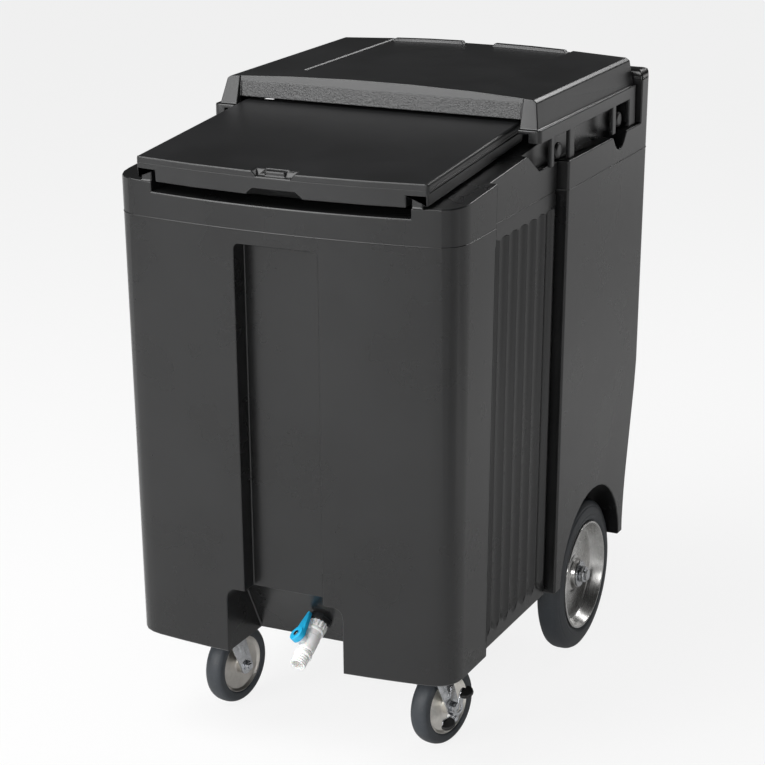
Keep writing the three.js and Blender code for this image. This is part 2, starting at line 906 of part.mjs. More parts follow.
function thumbCutter() {
  const low = lidTopHeight - thumbHeight;
  const reach = thumbHeight + overrun;
  const wider = thumbSlope * reach / thumbHeight;
  const front = trapezium(thumbWidth - 2 * thumbSlope, -wider, low, low + reach);
  const side = outline([
    [-overrun, low],
    [thumbDepth / 2, low],
    [thumbDepth, lidTopHeight],
    [thumbDepth, lidTopHeight + overrun],
    [-overrun, lidTopHeight + overrun],
  ]);
  const notch = common(
    rearward(front, -overrun, thumbDepth + overrun),
    across(side, -thumbWidth, thumbWidth),
  );
  const tabTop = lidTopHeight - lidSeamStep;
  const tab = block(-thumbTabWidth / 2, thumbTabWidth / 2, thumbTabSetback, thumbDepth + overrun, 0, tabTop);
  return cut(notch, tab);
}

function slidingLid() {
  const body = common(
    join(...bothSides(rearward(halfLidSection(), 0, lidLength))),
    upward(lidPlan(), -lidCoreDrop - overrun, lidTopHeight + overrun),
  );
  const rise = pullHeight + overrun;
  const pull = trapezium(
    pullWidth + 2 * pullSlope * overrun / pullHeight,
    pullSlope * rise / pullHeight,
    -lidCoreDrop - overrun,
    pullHeight - lidCoreDrop,
  );
  const notched = cut(body, rearward(pull, -overrun, pullDepth), thumbCutter());
  const lid = piece('sliding_lid', notched, finish(black, 0.5, 0));
  const start = frontY + lidSetback;
  lid.position.set(0, start, deckHeightAt(start));
  lid.rotation.x = deckSlope;
  return lid;
}

// Rear cover: a crowned cap on a windowed skirt
function coverSection(inset, drop, low) {
  const flange = coverFlangeWidth / 2 - inset;
  const top = coverTopWidth / 2 - inset;
  const high = coverTopHeight - drop;
  const shape = new THREE.Shape();
  shape.moveTo(-flange, low);
  shape.lineTo(flange, low);
  shape.lineTo(flange, coverFlangeHeight);
  shape.lineTo(top + coverTopEdge / 2, high - coverTopEdge);
  shape.lineTo(top - coverTopEdge, high);
  shape.quadraticCurveTo(0, high + 2 * coverCrown, -top + coverTopEdge, high);
  shape.lineTo(-top - coverTopEdge / 2, high - coverTopEdge);
  shape.lineTo(-flange, coverFlangeHeight);
  return shape;
}

function coverFrontAt(height, footSetback, headSetback) {
  const share = (height - coverFlangeHeight) / (coverTopHeight - coverFlangeHeight);
  return coverFrontY + footSetback * (1 - share) + (coverFrontLean + headSetback) * share;
}

function coverCap() {
  const high = coverTopHeight + coverCrown + overrun;
  const side = outline([
    [coverFrontAt(bandFootHeight, 0, 0), bandFootHeight],
    [coverRearY, bandFootHeight],
    [coverRearY, high],
    [coverFrontAt(high, 0, 0), high],
  ]);
  const section = coverSection(0, 0, bandFootHeight);
  return common(
    rearward(section, coverFrontY - overrun, coverRearY + overrun),
    across(side, -coverFlangeWidth, coverFlangeWidth),
  );
}

function coverSkirt() {
  const side = coverSkirtWidth / 2;
  const plan = roundedOutline(-side, side, frontY + coverSkirtReach, coverRearY, skirtCornerRadius);
  return upward(plan, coverFootHeight, coverFlangeHeight);
}

function windowCutters() {
  const inner = coverSkirtWidth / 2 - skirtThickness - overrun;
  const outer = coverSkirtWidth / 2 + overrun;
  const low = ledgeHeight - overrun;
  const cutters = [];
  let place = frontY + coverPostReach;
  cutters.push(...bothSides(block(0, outer, frontY, place, low, bandFootHeight)));
  for (const { post, window } of skirtWindows) {
    const start = place + post;
    place = start + window;
    cutters.push(...bothSides(block(inner, outer, start, place, low, bandFootHeight)));
  }
  return cutters;
}

function coverHollow() {
  const high = coverTopHeight + coverCrown;
  const side = outline([
    [coverFrontAt(ledgeHeight, fasciaFootSetback, fasciaHeadSetback) + coverWall, ledgeHeight - overrun],
    [coverRearY - coverWall, ledgeHeight - overrun],
    [coverRearY - coverWall, high],
    [coverFrontAt(high, fasciaFootSetback, fasciaHeadSetback) + coverWall, high],
  ]);
  const cap = common(
    rearward(coverSection(coverWall, coverRoof, ledgeHeight - overrun), coverFrontY, coverRearY),
    across(side, -coverFlangeWidth, coverFlangeWidth),
  );
  const bandSide = coverSkirtWidth / 2 - skirtThickness;
  const bandFront = frontY + coverSkirtReach + skirtThickness;
  const band = block(
    -bandSide,
    bandSide,
    bandFront,
    coverRearY - coverWall,
    ledgeHeight - overrun,
    coverFlangeHeight - coverRoof,
  );
  return join(cap, band);
}

function lidPassages() {
  const front = frontY + coverSkirtReach - overrun;
  const rear = coverFrontAt(coverFlangeHeight, fasciaFootSetback, fasciaHeadSetback) + coverWall + overrun;
  const side = fasciaWidth / 2;
  const coaming = coverSkirtWidth / 2 - skirtReturn;
  const low = ledgeHeight - overrun;
  return [
    block(-side, side, front, rear, low, coverFlangeHeight + fasciaLift),
    block(-coaming, coaming, front, rear, low, coverFlangeHeight - coverRoof),
  ];
}

function fasciaCutter() {
  const low = coverFlangeHeight;
  const high = coverTopHeight + coverCrown + overrun;
  const side = outline([
    [coverFrontY - overrun, low],
    [coverFrontAt(low, fasciaFootSetback, fasciaHeadSetback), low],
    [coverFrontAt(high, fasciaFootSetback, fasciaHeadSetback), high],
    [coverFrontY - overrun, high],
  ]);
  return across(side, -fasciaWidth / 2, fasciaWidth / 2);
}

function coverPanelCutter() {
  const high = coverTopHeight + coverCrown + overrun;
  const side = coverPanelWidth / 2;
  const front = coverFrontY + coverFrontLean + coverPanelBorder;
  const room = block(-side, side, front, coverRearY + overrun, coverTopHeight - coverRoof, high);
  const section = coverSection(0, coverPanelDepth, bandFootHeight);
  return cut(room, rearward(section, front - overrun, coverRearY + 2 * overrun));
}

function crownHeightAt(x) {
  const share = 2 * x / coverTopWidth;
  return coverTopHeight + coverCrown * (1 - share * share);
}

function coverRidges() {
  const start = ridgeGap / 2;
  const end = coverPanelWidth / 2;
  const lift = ridgeHeight - coverPanelDepth;
  const foot = coverTopHeight - coverPanelDepth;
  const shape = outline([
    [start, foot],
    [end, foot],
    [end - ridgeEndSlope, crownHeightAt(end) + lift],
    [(start + end) / 2, crownHeightAt((start + end) / 2) + lift],
    [start + ridgeEndSlope, crownHeightAt(start) + lift],
  ]);
  return bothSides(rearward(shape, coverRearY - ridgeSetback - ridgeWidth, coverRearY - ridgeSetback));
}

function bandGrooves() {
  const start = coverFlangeWidth / 2 + skirtGroove;
  const high = coverFlangeHeight;
  const low = high - skirtGroove;
  return bothSides(block(start, start + skirtGroove, coverFrontY, coverRearY + overrun, low, high + overrun));
}

function rearCover() {
  const skin = cut(join(coverCap(), coverSkirt()), fasciaCutter(), coverPanelCutter(), ...bandGrooves());
  const hollowed = cut(skin, coverHollow(), ...lidPassages(), ...windowCutters());
  return piece('rear_cover', join(hollowed, ...coverRidges()), finish(satinBlack, 0.5, 0));
}

// Turned knobs seated in the coaming
function coverKnob() {
  const inner = coamingWidth / 2 - knobSocketDepth + seatGap;
  const headStart = coamingWidth / 2 + knobNeckLength;
  const headEnd = headStart + knobHeadLength;
  return alongX(turned([
    [0, inner],
    [knobNeckRadius, inner],
    [knobNeckRadius, headStart],
    [knobRadius, headStart],
    [knobRadius, headEnd - knobEdge],
    [knobRadius - knobEdge, headEnd],
    [0, headEnd],
  ], boreSides));
}

function addKnobs(bin) {
  const ends = ['front', 'rear'];
  knobReaches.forEach((reach, i) => {
    for (const [side, turn] of [['right', 0], ['left', Math.PI]]) {
      const knob = piece(`cover_knob_${ends[i]}_${side}`, coverKnob(), finish(black, 0.4, 0));
      knob.rotation.z = turn;
      knob.position.set(0, frontY + reach, knobHeight);
      bin.add(knob);
    }
  });
}

// Drain shelf: a slotted plate on four legs
function shelfSlots(left, front, low, high) {
  const pitchX = (shelfWidth - 2 * shelfBorder) / shelfColumns;
  const pitchY = (shelfLength - 2 * shelfBorder) / shelfRows;
  const reach = shelfSlotWidth / 2;
  const straight = (pitchX - shelfSlotLand) / 2 - reach;
  const slots = [];
  for (let column = 0; column < shelfColumns; column += 1) {
    for (let row = 0; row < shelfRows; row += 1) {
      const x = left + shelfBorder + pitchX * (column + 0.5);
      const y = front + shelfBorder + pitchY * (row + 0.5);
      const slot = outline([
        [x + straight + reach, y],
        [x + straight, y + reach],
        [x - straight, y + reach],
        [x - straight - reach, y],
        [x - straight, y - reach],
        [x + straight, y - reach],
      ]);
      slots.push(upward(slot, low, high));
    }
  }
  return slots;
}

function drainShelf() {
  const rear = binRearY - shelfRearGap;
  const front = rear - shelfLength;
  const side = shelfWidth / 2;
  const floor = binFloorHeight + seatGap;
  const low = floor + shelfLegHeight;
  const high = low + shelfThickness;
  const legs = [];
  for (const y of [front + shelfCornerRadius, rear - shelfCornerRadius - shelfLegSize]) {
    const leg = block(side - shelfLegSize, side - shelfThickness, y, y + shelfLegSize, floor, low + seatGap);
    legs.push(...bothSides(leg));
  }
  const plate = upward(roundedOutline(-side, side, front, rear, shelfCornerRadius), low, high);
  const slotted = cut(join(plate, ...legs), ...shelfSlots(-side, front, floor, high + overrun));
  return piece('drain_shelf', slotted, finish(shelfGrey, 0.55, 0));
}

// Rear wheel, drawn round the X axis with its dish towards +X
function rearTyre() {
  const half = wheelWidth / 2;
  const shoulder = wheelRadius - tyreTread;
  const side = [
    [tyreBore, tyreBead],
    [tyreBore + tyreTread / 2, half - seatGap],
    [tyreBore + tyreTread, half],
    [shoulder, half - tyreTread / 4],
    [wheelRadius - tyreTread / 4, half - tyreTread * 2 / 3],
    [wheelRadius, half - tyreTread * 4 / 3],
  ];
  const otherSide = side.map(([radius, x]) => [radius, -x]).reverse();
  return alongX(turned([...side, ...otherSide], wheelSides));
}

function rearRim() {
  const seat = tyreBore - seatGap;
  const bore = wheelBushRadius + seatGap;
  return alongX(turned([
    [bore, -hubInner],
    [hubRadius, -hubInner],
    [hubRadius, -dishWall],
    [dishFloorRadius, -dishWall],
    [seat - dishWall, -rimBack],
    [seat, -rimBack],
    [seat, rimBack],
    [seat, dishDepth - lipWidth / 4],
    [seat - lipWidth / 4, dishDepth],
    [seat - lipWidth, dishDepth],
    [dishFloorRadius, 0],
    [hubRadius, 0],
    [hubRadius - hubTaper, hubOuter],
    [bore, hubOuter],
  ], wheelSides));
}

function addRearWheel(bin, side, turn) {
  const wheel = new THREE.Group();
  const washerStart = hubOuter + runningGap;
  const nutStart = washerStart + washerThickness + seatGap;
  const bore = axleRadius + seatGap;
  const bush = alongX(ring(bore, wheelBushRadius, -hubInner, hubOuter, boreSides));
  const hexagon = rod(axleNutRadius, nutStart, nutStart + axleNutThickness, hexSides);
  wheel.add(
    piece(`rear_tyre_${side}`, rearTyre(), finish(tyreGrey, 0.75, 0)),
    piece(`rear_rim_${side}`, rearRim(), finish(aluminium, 0.32, 0.9)),
    piece(`rear_bush_${side}`, bush, finish(black, 0.6, 0)),
    piece(
      `rear_washer_${side}`,
      alongX(ring(bore, washerRadius, washerStart, washerStart + washerThickness, boreSides)),
      finish(zinc, 0.3, 1),
    ),
    piece(
      `rear_nut_${side}`,
      alongX(cut(hexagon, rod(bore, 0, nutStart + axleNutThickness + overrun, boreSides))),
      finish(zinc, 0.3, 1),
    ),
  );
  wheel.rotation.z = turn;
  wheel.position.set(Math.cos(turn) * wheelTrack / 2, axleY, wheelRadius);
  bin.add(wheel);
}

function rearAxle() {
  const nutEnd = wheelTrack / 2 + hubOuter + runningGap + washerThickness + seatGap + axleNutThickness;
  const end = nutEnd + studLength;
  const collarEnd = wheelTrack / 2 - hubInner - runningGap;
  const collarStart = bracketPlace + bracketWidth / 2 + seatGap;
  const half = [
    [axleRadius, collarStart],
    [collarRadius, collarStart],
    [collarRadius, collarEnd],
    [axleRadius, collarEnd],
    [axleRadius, end - seatGap],
    [axleRadius - seatGap, end],
    [0, end],
  ];
  const otherHalf = half.map(([radius, x]) => [radius, -x]).reverse();
  const axle = piece('rear_axle', alongX(turned([...otherHalf, ...half], boreSides)), finish(zinc, 0.35, 1));
  axle.position.set(0, axleY, wheelRadius);
  return axle;
}

function axleBracket() {
  const half = bracketWidth / 2;
  const top = plateTop - wheelRadius;
  const under = top - bracketPlate;
  const base = block(-half, half, -bracketLength / 2, bracketLength / 2, under, top);
  const shape = new THREE.Shape();
  shape.moveTo(-bracketCheekFoot / 2, top);
  shape.lineTo(-bracketEye, 0);
  shape.absarc(0, 0, bracketEye, Math.PI, 2 * Math.PI, false);
  shape.lineTo(bracketCheekFoot / 2, top);
  const cheek = across(shape, half - bracketPlate, half);
  const heads = [-bracketBoltSpread / 2, bracketBoltSpread / 2].map((y) => (
    rod(bracketBoltRadius, under - bracketBoltHead, under + seatGap, hexSides).translate(0, y, 0)
  ));
  const hole = alongX(rod(axleRadius + seatGap, -bracketWidth, bracketWidth, boreSides));
  return cut(join(base, ...bothSides(cheek), ...heads), hole);
}

function addAxleBrackets(bin) {
  for (const [side, sign] of [['left', -1], ['right', 1]]) {
    const bracket = piece(`axle_bracket_${side}`, axleBracket(), finish(zinc, 0.4, 1));
    bracket.position.set(sign * bracketPlace, axleY, wheelRadius);
    bin.add(bracket);
  }
}

// Front caster, drawn round its swivel axis with the wheel trailing towards +Y
const raceTop = plateTop - plateThickness - seatGap;
const forkTop = raceTop - raceHeight - seatGap;
const forkUnder = forkTop - forkThickness;

function topPlate() {
  const half = plateWidth / 2;
  const plan = roundedOutline(-half, half, -plateLength / 2, plateLength / 2, plateCorner);
  const low = raceTop - overrun;
  const high = plateTop + overrun;
  const holes = [rod(kingpinRadius + seatGap, low, high, boreSides)];
  for (const x of [-boltSpreadX / 2, boltSpreadX / 2]) {
    for (const y of [-boltSpreadY / 2, boltSpreadY / 2]) {
      holes.push(rod(boltRadius + seatGap, low, high, boltSides).translate(x, y, 0));
    }
  }
  return cut(upward(plan, plateTop - plateThickness, plateTop), ...holes);
}

function ballRace() {
  const low = forkTop + seatGap;
  const middle = (low + raceTop) / 2;
  return turned([
    [kingpinRadius + seatGap, low],
    [raceRadius - raceGroove, low],
    [raceRadius, low + raceGroove],
    [raceRadius - raceGroove, middle],
    [raceRadius, raceTop - raceGroove],
    [raceRadius - raceGroove, raceTop],
    [kingpinRadius + seatGap, raceTop],
  ], wheelSides);
}

function kingpin() {
  const head = forkUnder - seatGap;
  return turned([
    [0, head - kingpinHeadHeight],
    [kingpinHeadRadius - seatGap, head - kingpinHeadHeight],
    [kingpinHeadRadius, head],
    [kingpinRadius, head],
    [kingpinRadius, plateTop],
    [0, plateTop],
  ], boreSides);
}

function forkLeg() {
  const inner = forkGap / 2;
  const outer = inner + forkThickness;
  const shape = new THREE.Shape();
  shape.moveTo(-forkFrontReach, forkTop);
  shape.lineTo(casterTrail - forkEyeRadius, casterRadius);
  shape.absarc(casterTrail, casterRadius, forkEyeRadius, Math.PI, 2 * Math.PI, false);
  shape.lineTo(forkRearReach, forkTop);
  const leg = across(shape, inner, outer);
  const ribFoot = casterRadius + 2 * forkEyeRadius;
  const footY = casterTrail * (forkTop - ribFoot) / (forkTop - casterRadius);
  const rib = outline([
    [-forkRibWidth / 2, forkTop],
    [footY - forkRibWidth / 2, ribFoot],
    [footY + forkRibWidth / 2, ribFoot],
    [forkRibWidth / 2, forkTop],
  ]);
  return join(leg, across(rib, outer - seatGap, outer + forkRibHeight));
}

function casterFork() {
  const top = rod(forkTopRadius, forkUnder, forkTop, wheelSides);
  const pinHole = rod(kingpinRadius + seatGap, forkUnder - overrun, forkTop + overrun, boreSides);
  const axleHole = alongX(rod(casterBoltRadius + seatGap, -forkGap, forkGap, boreSides));
  return cut(join(top, ...bothSides(forkLeg())), pinHole, axleHole.translate(0, casterTrail, casterRadius));
}

// A place beside the wheel, given from the axle, as (y, z) from the swivel's axis and the floor
function besideWheel([behind, above]) {
  return [casterTrail + behind, casterRadius + above];
}

function rockerInnerX() {
  return forkGap / 2 + forkThickness + rockerGap;
}

function brakePin() {
  const [y, z] = besideWheel(rockerPivot);
  const inner = rockerInnerX();
  const seat = inner + rockerThickness + seatGap;
  const boss = rod(rockerBossRadius, forkGap / 2, inner - runningGap, boreSides);
  const pin = rod(rockerPinRadius, forkGap / 2, seat + seatGap, boreSides);
  const head = rod(rockerPinHead, seat, seat + rockerPinHeadThickness, boreSides);
  return alongX(join(boss, pin, head)).translate(0, y, z);
}

// A flat bar from one (y, z) place to another, between two x
function flatBar([startY, startZ], [endY, endZ], width, left, right) {
  const length = Math.hypot(endY - startY, endZ - startZ);
  const aside = [(startZ - endZ) / length * width / 2, (endY - startY) / length * width / 2];
  const shape = outline([
    [startY - aside[0], startZ - aside[1]],
    [endY - aside[0], endZ - aside[1]],
    [endY + aside[0], endZ + aside[1]],
    [startY + aside[0], startZ + aside[1]],
  ]);
  return across(shape, left, right);
}

function brakePlate() {
  const left = rockerInnerX();
  const right = left + rockerThickness;
  const axle = [casterTrail, casterRadius];
  const pivot = besideWheel(rockerPivot);
  const route = [besideWheel(upperTread), axle, pivot, besideWheel(lowerTread)];
  const round = ([y, z], radius) => alongX(rod(radius, left, right, boreSides)).translate(0, y, z);
  const bars = route.slice(1).map((place, i) => flatBar(route[i], place, rockerWidth, left, right));
  const ends = route.map((place) => round(place, rockerWidth / 2));
  const window = alongX(rod(rockerWindow, left - overrun, right + overrun, boreSides));
  const hole = alongX(rod(rockerPinRadius + seatGap, left - overrun, right + overrun, boreSides));
  return cut(
    join(...bars, ...ends, round(axle, rockerEyeRadius)),
    window.translate(0, ...axle),
    hole.translate(0, ...pivot),
  );
}

// A half-round tread that stands out from the rocker plate
function brakeTread(place) {
  const half = treadWidth / 2;
  const shape = new THREE.Shape();
  shape.moveTo(0, -half);
  shape.lineTo(treadReach - half, -half);
  shape.absarc(treadReach - half, 0, half, -Math.PI / 2, Math.PI / 2, false);
  shape.lineTo(0, half);
  const [y, z] = besideWheel(place);
  const seat = rockerInnerX() + rockerThickness + seatGap;
  return upward(shape, -treadThickness / 2, treadThickness / 2).rotateX(treadTilt).translate(seat, y, z);
}

function casterTyre() {
  const half = casterWidth / 2;
  const side = [
    [casterTyreBore, casterTyreBead],
    [casterTyreBore + casterWidth / 6, half],
    [casterRadius - casterWidth / 6, half - seatGap],
    [casterRadius - casterWidth / 20, half * 2 / 3],
    [casterRadius, half / 3],
  ];
  const otherSide = side.map(([radius, x]) => [radius, -x]).reverse();
  return alongX(turned([...side, ...otherSide], wheelSides));
}

function casterCore() {
  const seat = casterTyreBore - seatGap;
  const hubEnd = forkGap / 2 - runningGap;
  const web = casterTyreBead - casterWebDish;
  const side = [
    [casterBushRadius + seatGap, hubEnd],
    [casterHubRadius, hubEnd],
    [casterHubRadius + seatGap, web + seatGap],
    [seat - casterWebDish, web],
    [seat - seatGap, casterTyreBead - seatGap],
    [seat, casterTyreBead - seatGap],
  ];
  const otherSide = side.map(([radius, x]) => [radius, -x]).reverse();
  return alongX(turned([...side, ...otherSide], wheelSides));
}

function casterBolt() {
  const outer = forkGap / 2 + forkThickness + seatGap;
  const tail = outer + casterNutHeight + casterBoltTail;
  const shank = rod(casterBoltRadius, -outer, tail, boreSides);
  const head = rod(casterBoltHeadRadius, -outer - casterBoltHeadHeight, -outer, hexSides);
  return alongX(join(shank, head)).translate(0, casterTrail, casterRadius);
}

function casterNut() {
  const start = forkGap / 2 + forkThickness + seatGap;
  const hexagon = rod(casterBoltHeadRadius, start, start + casterNutHeight, hexSides);
  const hole = rod(casterBoltRadius + seatGap, start - overrun, start + 2 * overrun, boreSides);
  return alongX(cut(hexagon, hole)).translate(0, casterTrail, casterRadius);
}

function plateBolt() {
  const headTop = plateTop - plateThickness - seatGap;
  const head = rod(boltHeadRadius, headTop - boltHeadHeight, headTop, hexSides);
  return join(head, rod(boltRadius, headTop - seatGap, plateTop + boltGrip, boltSides));
}

function addCaster(bin, side, sign, swivel, braked) {
  const caster = new THREE.Group();
  const bushEnd = forkGap / 2 - runningGap;
  const bush = alongX(ring(casterBoltRadius + seatGap, casterBushRadius, -bushEnd, bushEnd, boreSides));
  const fork = braked ? join(casterFork(), brakePin()) : casterFork();
  const wheelPlace = [0, casterTrail, casterRadius];
  const tyre = casterTyre().translate(...wheelPlace);
  const core = casterCore().translate(...wheelPlace);
  caster.add(
    piece(`caster_race_${side}`, ballRace(), finish(zinc, 0.35, 1)),
    piece(`caster_kingpin_${side}`, kingpin(), finish(zinc, 0.3, 1)),
    piece(`caster_fork_${side}`, fork, finish(zinc, 0.28, 1)),
    piece(`caster_tyre_${side}`, tyre, finish(tyreGrey, 0.75, 0)),
    piece(`caster_core_${side}`, core, finish(nickel, 0.25, 0.9)),
    piece(`caster_bush_${side}`, bush.translate(...wheelPlace), finish(black, 0.6, 0)),
    piece(`caster_axle_bolt_${side}`, casterBolt(), finish(zinc, 0.3, 1)),
    piece(`caster_axle_nut_${side}`, casterNut(), finish(zinc, 0.3, 1)),
  );
  if (braked) {
    caster.add(
      piece('brake_pedal', brakePlate(), finish(zinc, 0.35, 0.9)),
      piece('brake_tread_upper', brakeTread(upperTread), finish(rubberBlack, 0.6, 0)),
      piece('brake_tread_lower', brakeTread(lowerTread), finish(rubberBlack, 0.6, 0)),
    );
  }
  caster.position.set(sign * casterSpread / 2, frontY + casterSetback, 0);
  caster.rotation.z = swivel;
  bin.add(caster);
  const plate = piece(`caster_plate_${side}`, topPlate(), finish(zinc, 0.35, 1));
  plate.position.copy(caster.position);
  bin.add(plate);
  casterBoltPlaces(sign).forEach(([x, y], i) => {
    const bolt = piece(`caster_bolt_${side}_${i + 1}`, plateBolt(), finish(zinc, 0.35, 1));
    bolt.position.set(x, y, 0);
    bin.add(bolt);
  });
}

// Drain valve, drawn along +Z from the outer face of the drain wall
const flangeStart = gasketThickness + 2 * seatGap;
const unionStart = flangeStart + bulkheadFlangeThickness + seatGap;
const valveStart = unionStart + unionLength + seatGap;
const ballCentre = valveStart + ballPlace;
const valveEnd = valveStart + valveLength;

function bulkhead() {
  return turned([
    [drainBore, -drainWall - shankReach],
    [shankRadius, -drainWall - shankReach],
    [shankRadius, flangeStart],
    [bulkheadFlangeRadius, flangeStart],
    [bulkheadFlangeRadius, flangeStart + bulkheadFlangeThickness],
    [shankRadius, flangeStart + bulkheadFlangeThickness],
    [shankRadius, valveStart + shankSocket],
    [drainBore, valveStart + shankSocket],
  ], boreSides);
}

function bulkheadNut() {
  const start = -drainWall - seatGap;
  const hexagon = rod(bulkheadNutRadius, start - bulkheadNutThickness, start, hexSides);
  const low = start - bulkheadNutThickness - overrun;
  return cut(hexagon, rod(shankRadius + seatGap, low, start + overrun, boreSides));
}

function unionNut() {
  const shape = new THREE.Shape();
  const steps = unionRibs * 4;
  for (let i = 0; i < steps; i += 1) {
    const angle = 2 * Math.PI * i / steps;
    const reach = unionRadius - (i % 4 < 2 ? 0 : unionRibDepth);
    const place = new THREE.Vector2(reach * Math.cos(angle), reach * Math.sin(angle));
    if (i === 0) {
      shape.moveTo(place.x, place.y);
    } else {
      shape.lineTo(place.x, place.y);
    }
  }
  const end = unionStart + unionLength;
  const hole = rod(shankRadius + seatGap, unionStart - overrun, end + overrun, boreSides);
  return cut(upward(shape, unionStart, end), hole);
}

function ballRoom() {
  const reach = ballRadius + 2 * seatGap;
  const inlet = Math.sqrt(reach * reach - drainBore * drainBore);
  const arc = new THREE.Path();
  arc.absarc(0, ballCentre, reach, -Math.atan2(inlet, drainBore), 0, false);
  return arc.getPoints(curveSteps - 1).map((point) => [point.x, point.y]);
}

function valveBody() {
  const socket = shankRadius + seatGap;
  const socketEnd = valveStart + shankSocket + seatGap;
  const shell = turned([
    [socket, valveStart],
    [valveRadius + valveWaist, valveStart],
    [valveRadius + valveWaist, valveStart + shankSocket],
    [valveRadius, valveStart + shankSocket + valveWaist],
    [valveRadius, valveEnd],
    [ballRadius + seatGap, valveEnd],
    ...ballRoom().reverse(),
    [drainBore, socketEnd],
    [socket, socketEnd],
  ], boreSides);
  const boss = alongY(rod(stemBossRadius, ballRadius + valveWaist, stemBossHeight, boreSides));
  const hole = alongY(rod(stemRadius + seatGap, 0, stemBossHeight + overrun, boreSides));
  return cut(join(shell, boss.translate(0, 0, ballCentre)), hole.translate(0, 0, ballCentre));
}

function valveBall() {
  const ball = new THREE.SphereGeometry(ballRadius, boreSides, boltSides).rotateX(Math.PI / 2);
  return cut(ball, rod(drainBore, -2 * ballRadius, 2 * ballRadius, boreSides)).translate(0, 0, ballCentre);
}

function valveStem() {
  const low = ballRadius + seatGap;
  const high = stemBossHeight + seatGap + leverThickness;
  const shaft = rod(stemRadius, low, high, boreSides);
  const hole = rod(screwRadius + seatGap, high - screwDepth, high + overrun, boltSides);
  return alongY(cut(shaft, hole)).translate(0, 0, ballCentre);
}

function valveLever() {
  const low = stemBossHeight + seatGap;
  const high = low + leverThickness;
  const arm = new THREE.Shape();
  arm.moveTo(-leverNeckWidth / 2, 0);
  arm.lineTo(leverNeckWidth / 2, 0);
  arm.lineTo(leverTipWidth / 2, leverLength);
  arm.lineTo(-leverTipWidth / 2, leverLength);
  const hub = rod(leverHubRadius, low, high, wheelSides);
  const hole = rod(stemRadius + seatGap, low - overrun, high + overrun, boreSides);
  return alongY(cut(join(hub, upward(arm, low, high)), hole)).translate(0, 0, ballCentre);
}

function leverScrew() {
  const seat = stemBossHeight + leverThickness + 2 * seatGap;
  const head = rod(screwHeadRadius, seat, seat + screwHeadHeight, boreSides);
  const shank = rod(screwRadius, seat - screwDepth + 2 * seatGap, seat + seatGap, boltSides);
  return alongY(join(head, shank)).translate(0, 0, ballCentre);
}

function outletSpout() {
  const start = ballCentre + Math.sqrt(ballRadius * ballRadius - drainBore * drainBore) + seatGap;
  const collarStart = valveEnd + seatGap;
  const collarEnd = collarStart + spoutCollar;
  const end = collarStart + spoutLength;
  const pitch = (end - collarEnd) / (spoutThreads + 1);
  const threads = [];
  for (let i = 0; i < spoutThreads; i += 1) {
    const low = collarEnd + pitch * (i + 0.5);
    threads.push([spoutRadius - spoutThreadDepth, low], [spoutRadius, low + pitch / 4]);
    threads.push([spoutRadius, low + pitch / 2], [spoutRadius - spoutThreadDepth, low + pitch * 3 / 4]);
  }
  return turned([
    [drainBore + seatGap, start],
    [ballRadius, start],
    [ballRadius, collarStart],
    [spoutCollarRadius, collarStart],
    [spoutCollarRadius, collarEnd],
    [spoutRadius - spoutThreadDepth, collarEnd],
    ...threads,
    [spoutRadius - spoutThreadDepth, end],
    [spoutMouth, end],
  ], boreSides);
}

function addDrainValve(bin) {
  const line = new THREE.Group();
  const rolled = new THREE.Group();
  const gasket = ring(shankRadius + seatGap, gasketRadius, seatGap, seatGap + gasketThickness, boreSides);
  rolled.add(
    piece('bulkhead_gasket', gasket, finish(rubberBlack, 0.8, 0)),
    piece('bulkhead_fitting', bulkhead(), finish(black, 0.45, 0)),
    piece('bulkhead_nut', bulkheadNut(), finish(black, 0.45, 0)),
    piece('valve_union_nut', unionNut(), finish(valveWhite, 0.4, 0)),
    piece('valve_body', valveBody(), finish(valveWhite, 0.4, 0)),
    piece('valve_ball', valveBall(), finish(valveWhite, 0.3, 0)),
    piece('valve_stem', valveStem(), finish(valveWhite, 0.4, 0)),
    piece('valve_lever', valveLever(), finish(leverBlue, 0.35, 0)),
    piece('lever_screw', leverScrew(), finish(zinc, 0.3, 1)),
    piece('outlet_spout', outletSpout(), finish(valveWhite, 0.4, 0)),
  );
  rolled.rotation.z = drainRoll;
  line.add(rolled);
  line.rotation.x = notchTilt;
  line.position.set(drainOffset, notchWallAt(drainHeight), drainHeight);
  bin.add(line);
}

function iceBin() {
  const bin = new THREE.Group();
  bin.add(piece('body_shell', bodyShell(), finish(black, 0.45, 0)));
  bin.add(slidingLid());
  bin.add(rearCover());
  bin.add(drainShelf());
  addKnobs(bin);
  addDrainValve(bin);
  addCaster(bin, 'left', -1, leftSwivel, false);
  addCaster(bin, 'right', 1, rightSwivel, true);
  addRearWheel(bin, 'right', 0);
  addRearWheel(bin, 'left', Math.PI);
  bin.add(rearAxle());
  addAxleBrackets(bin);
  return bin;
}

const group = iceBin();

export default group;
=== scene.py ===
import json
import math

import bmesh
import bpy
import numpy as np
from mathutils import Matrix, Vector
from mathutils.bvhtree import BVHTree


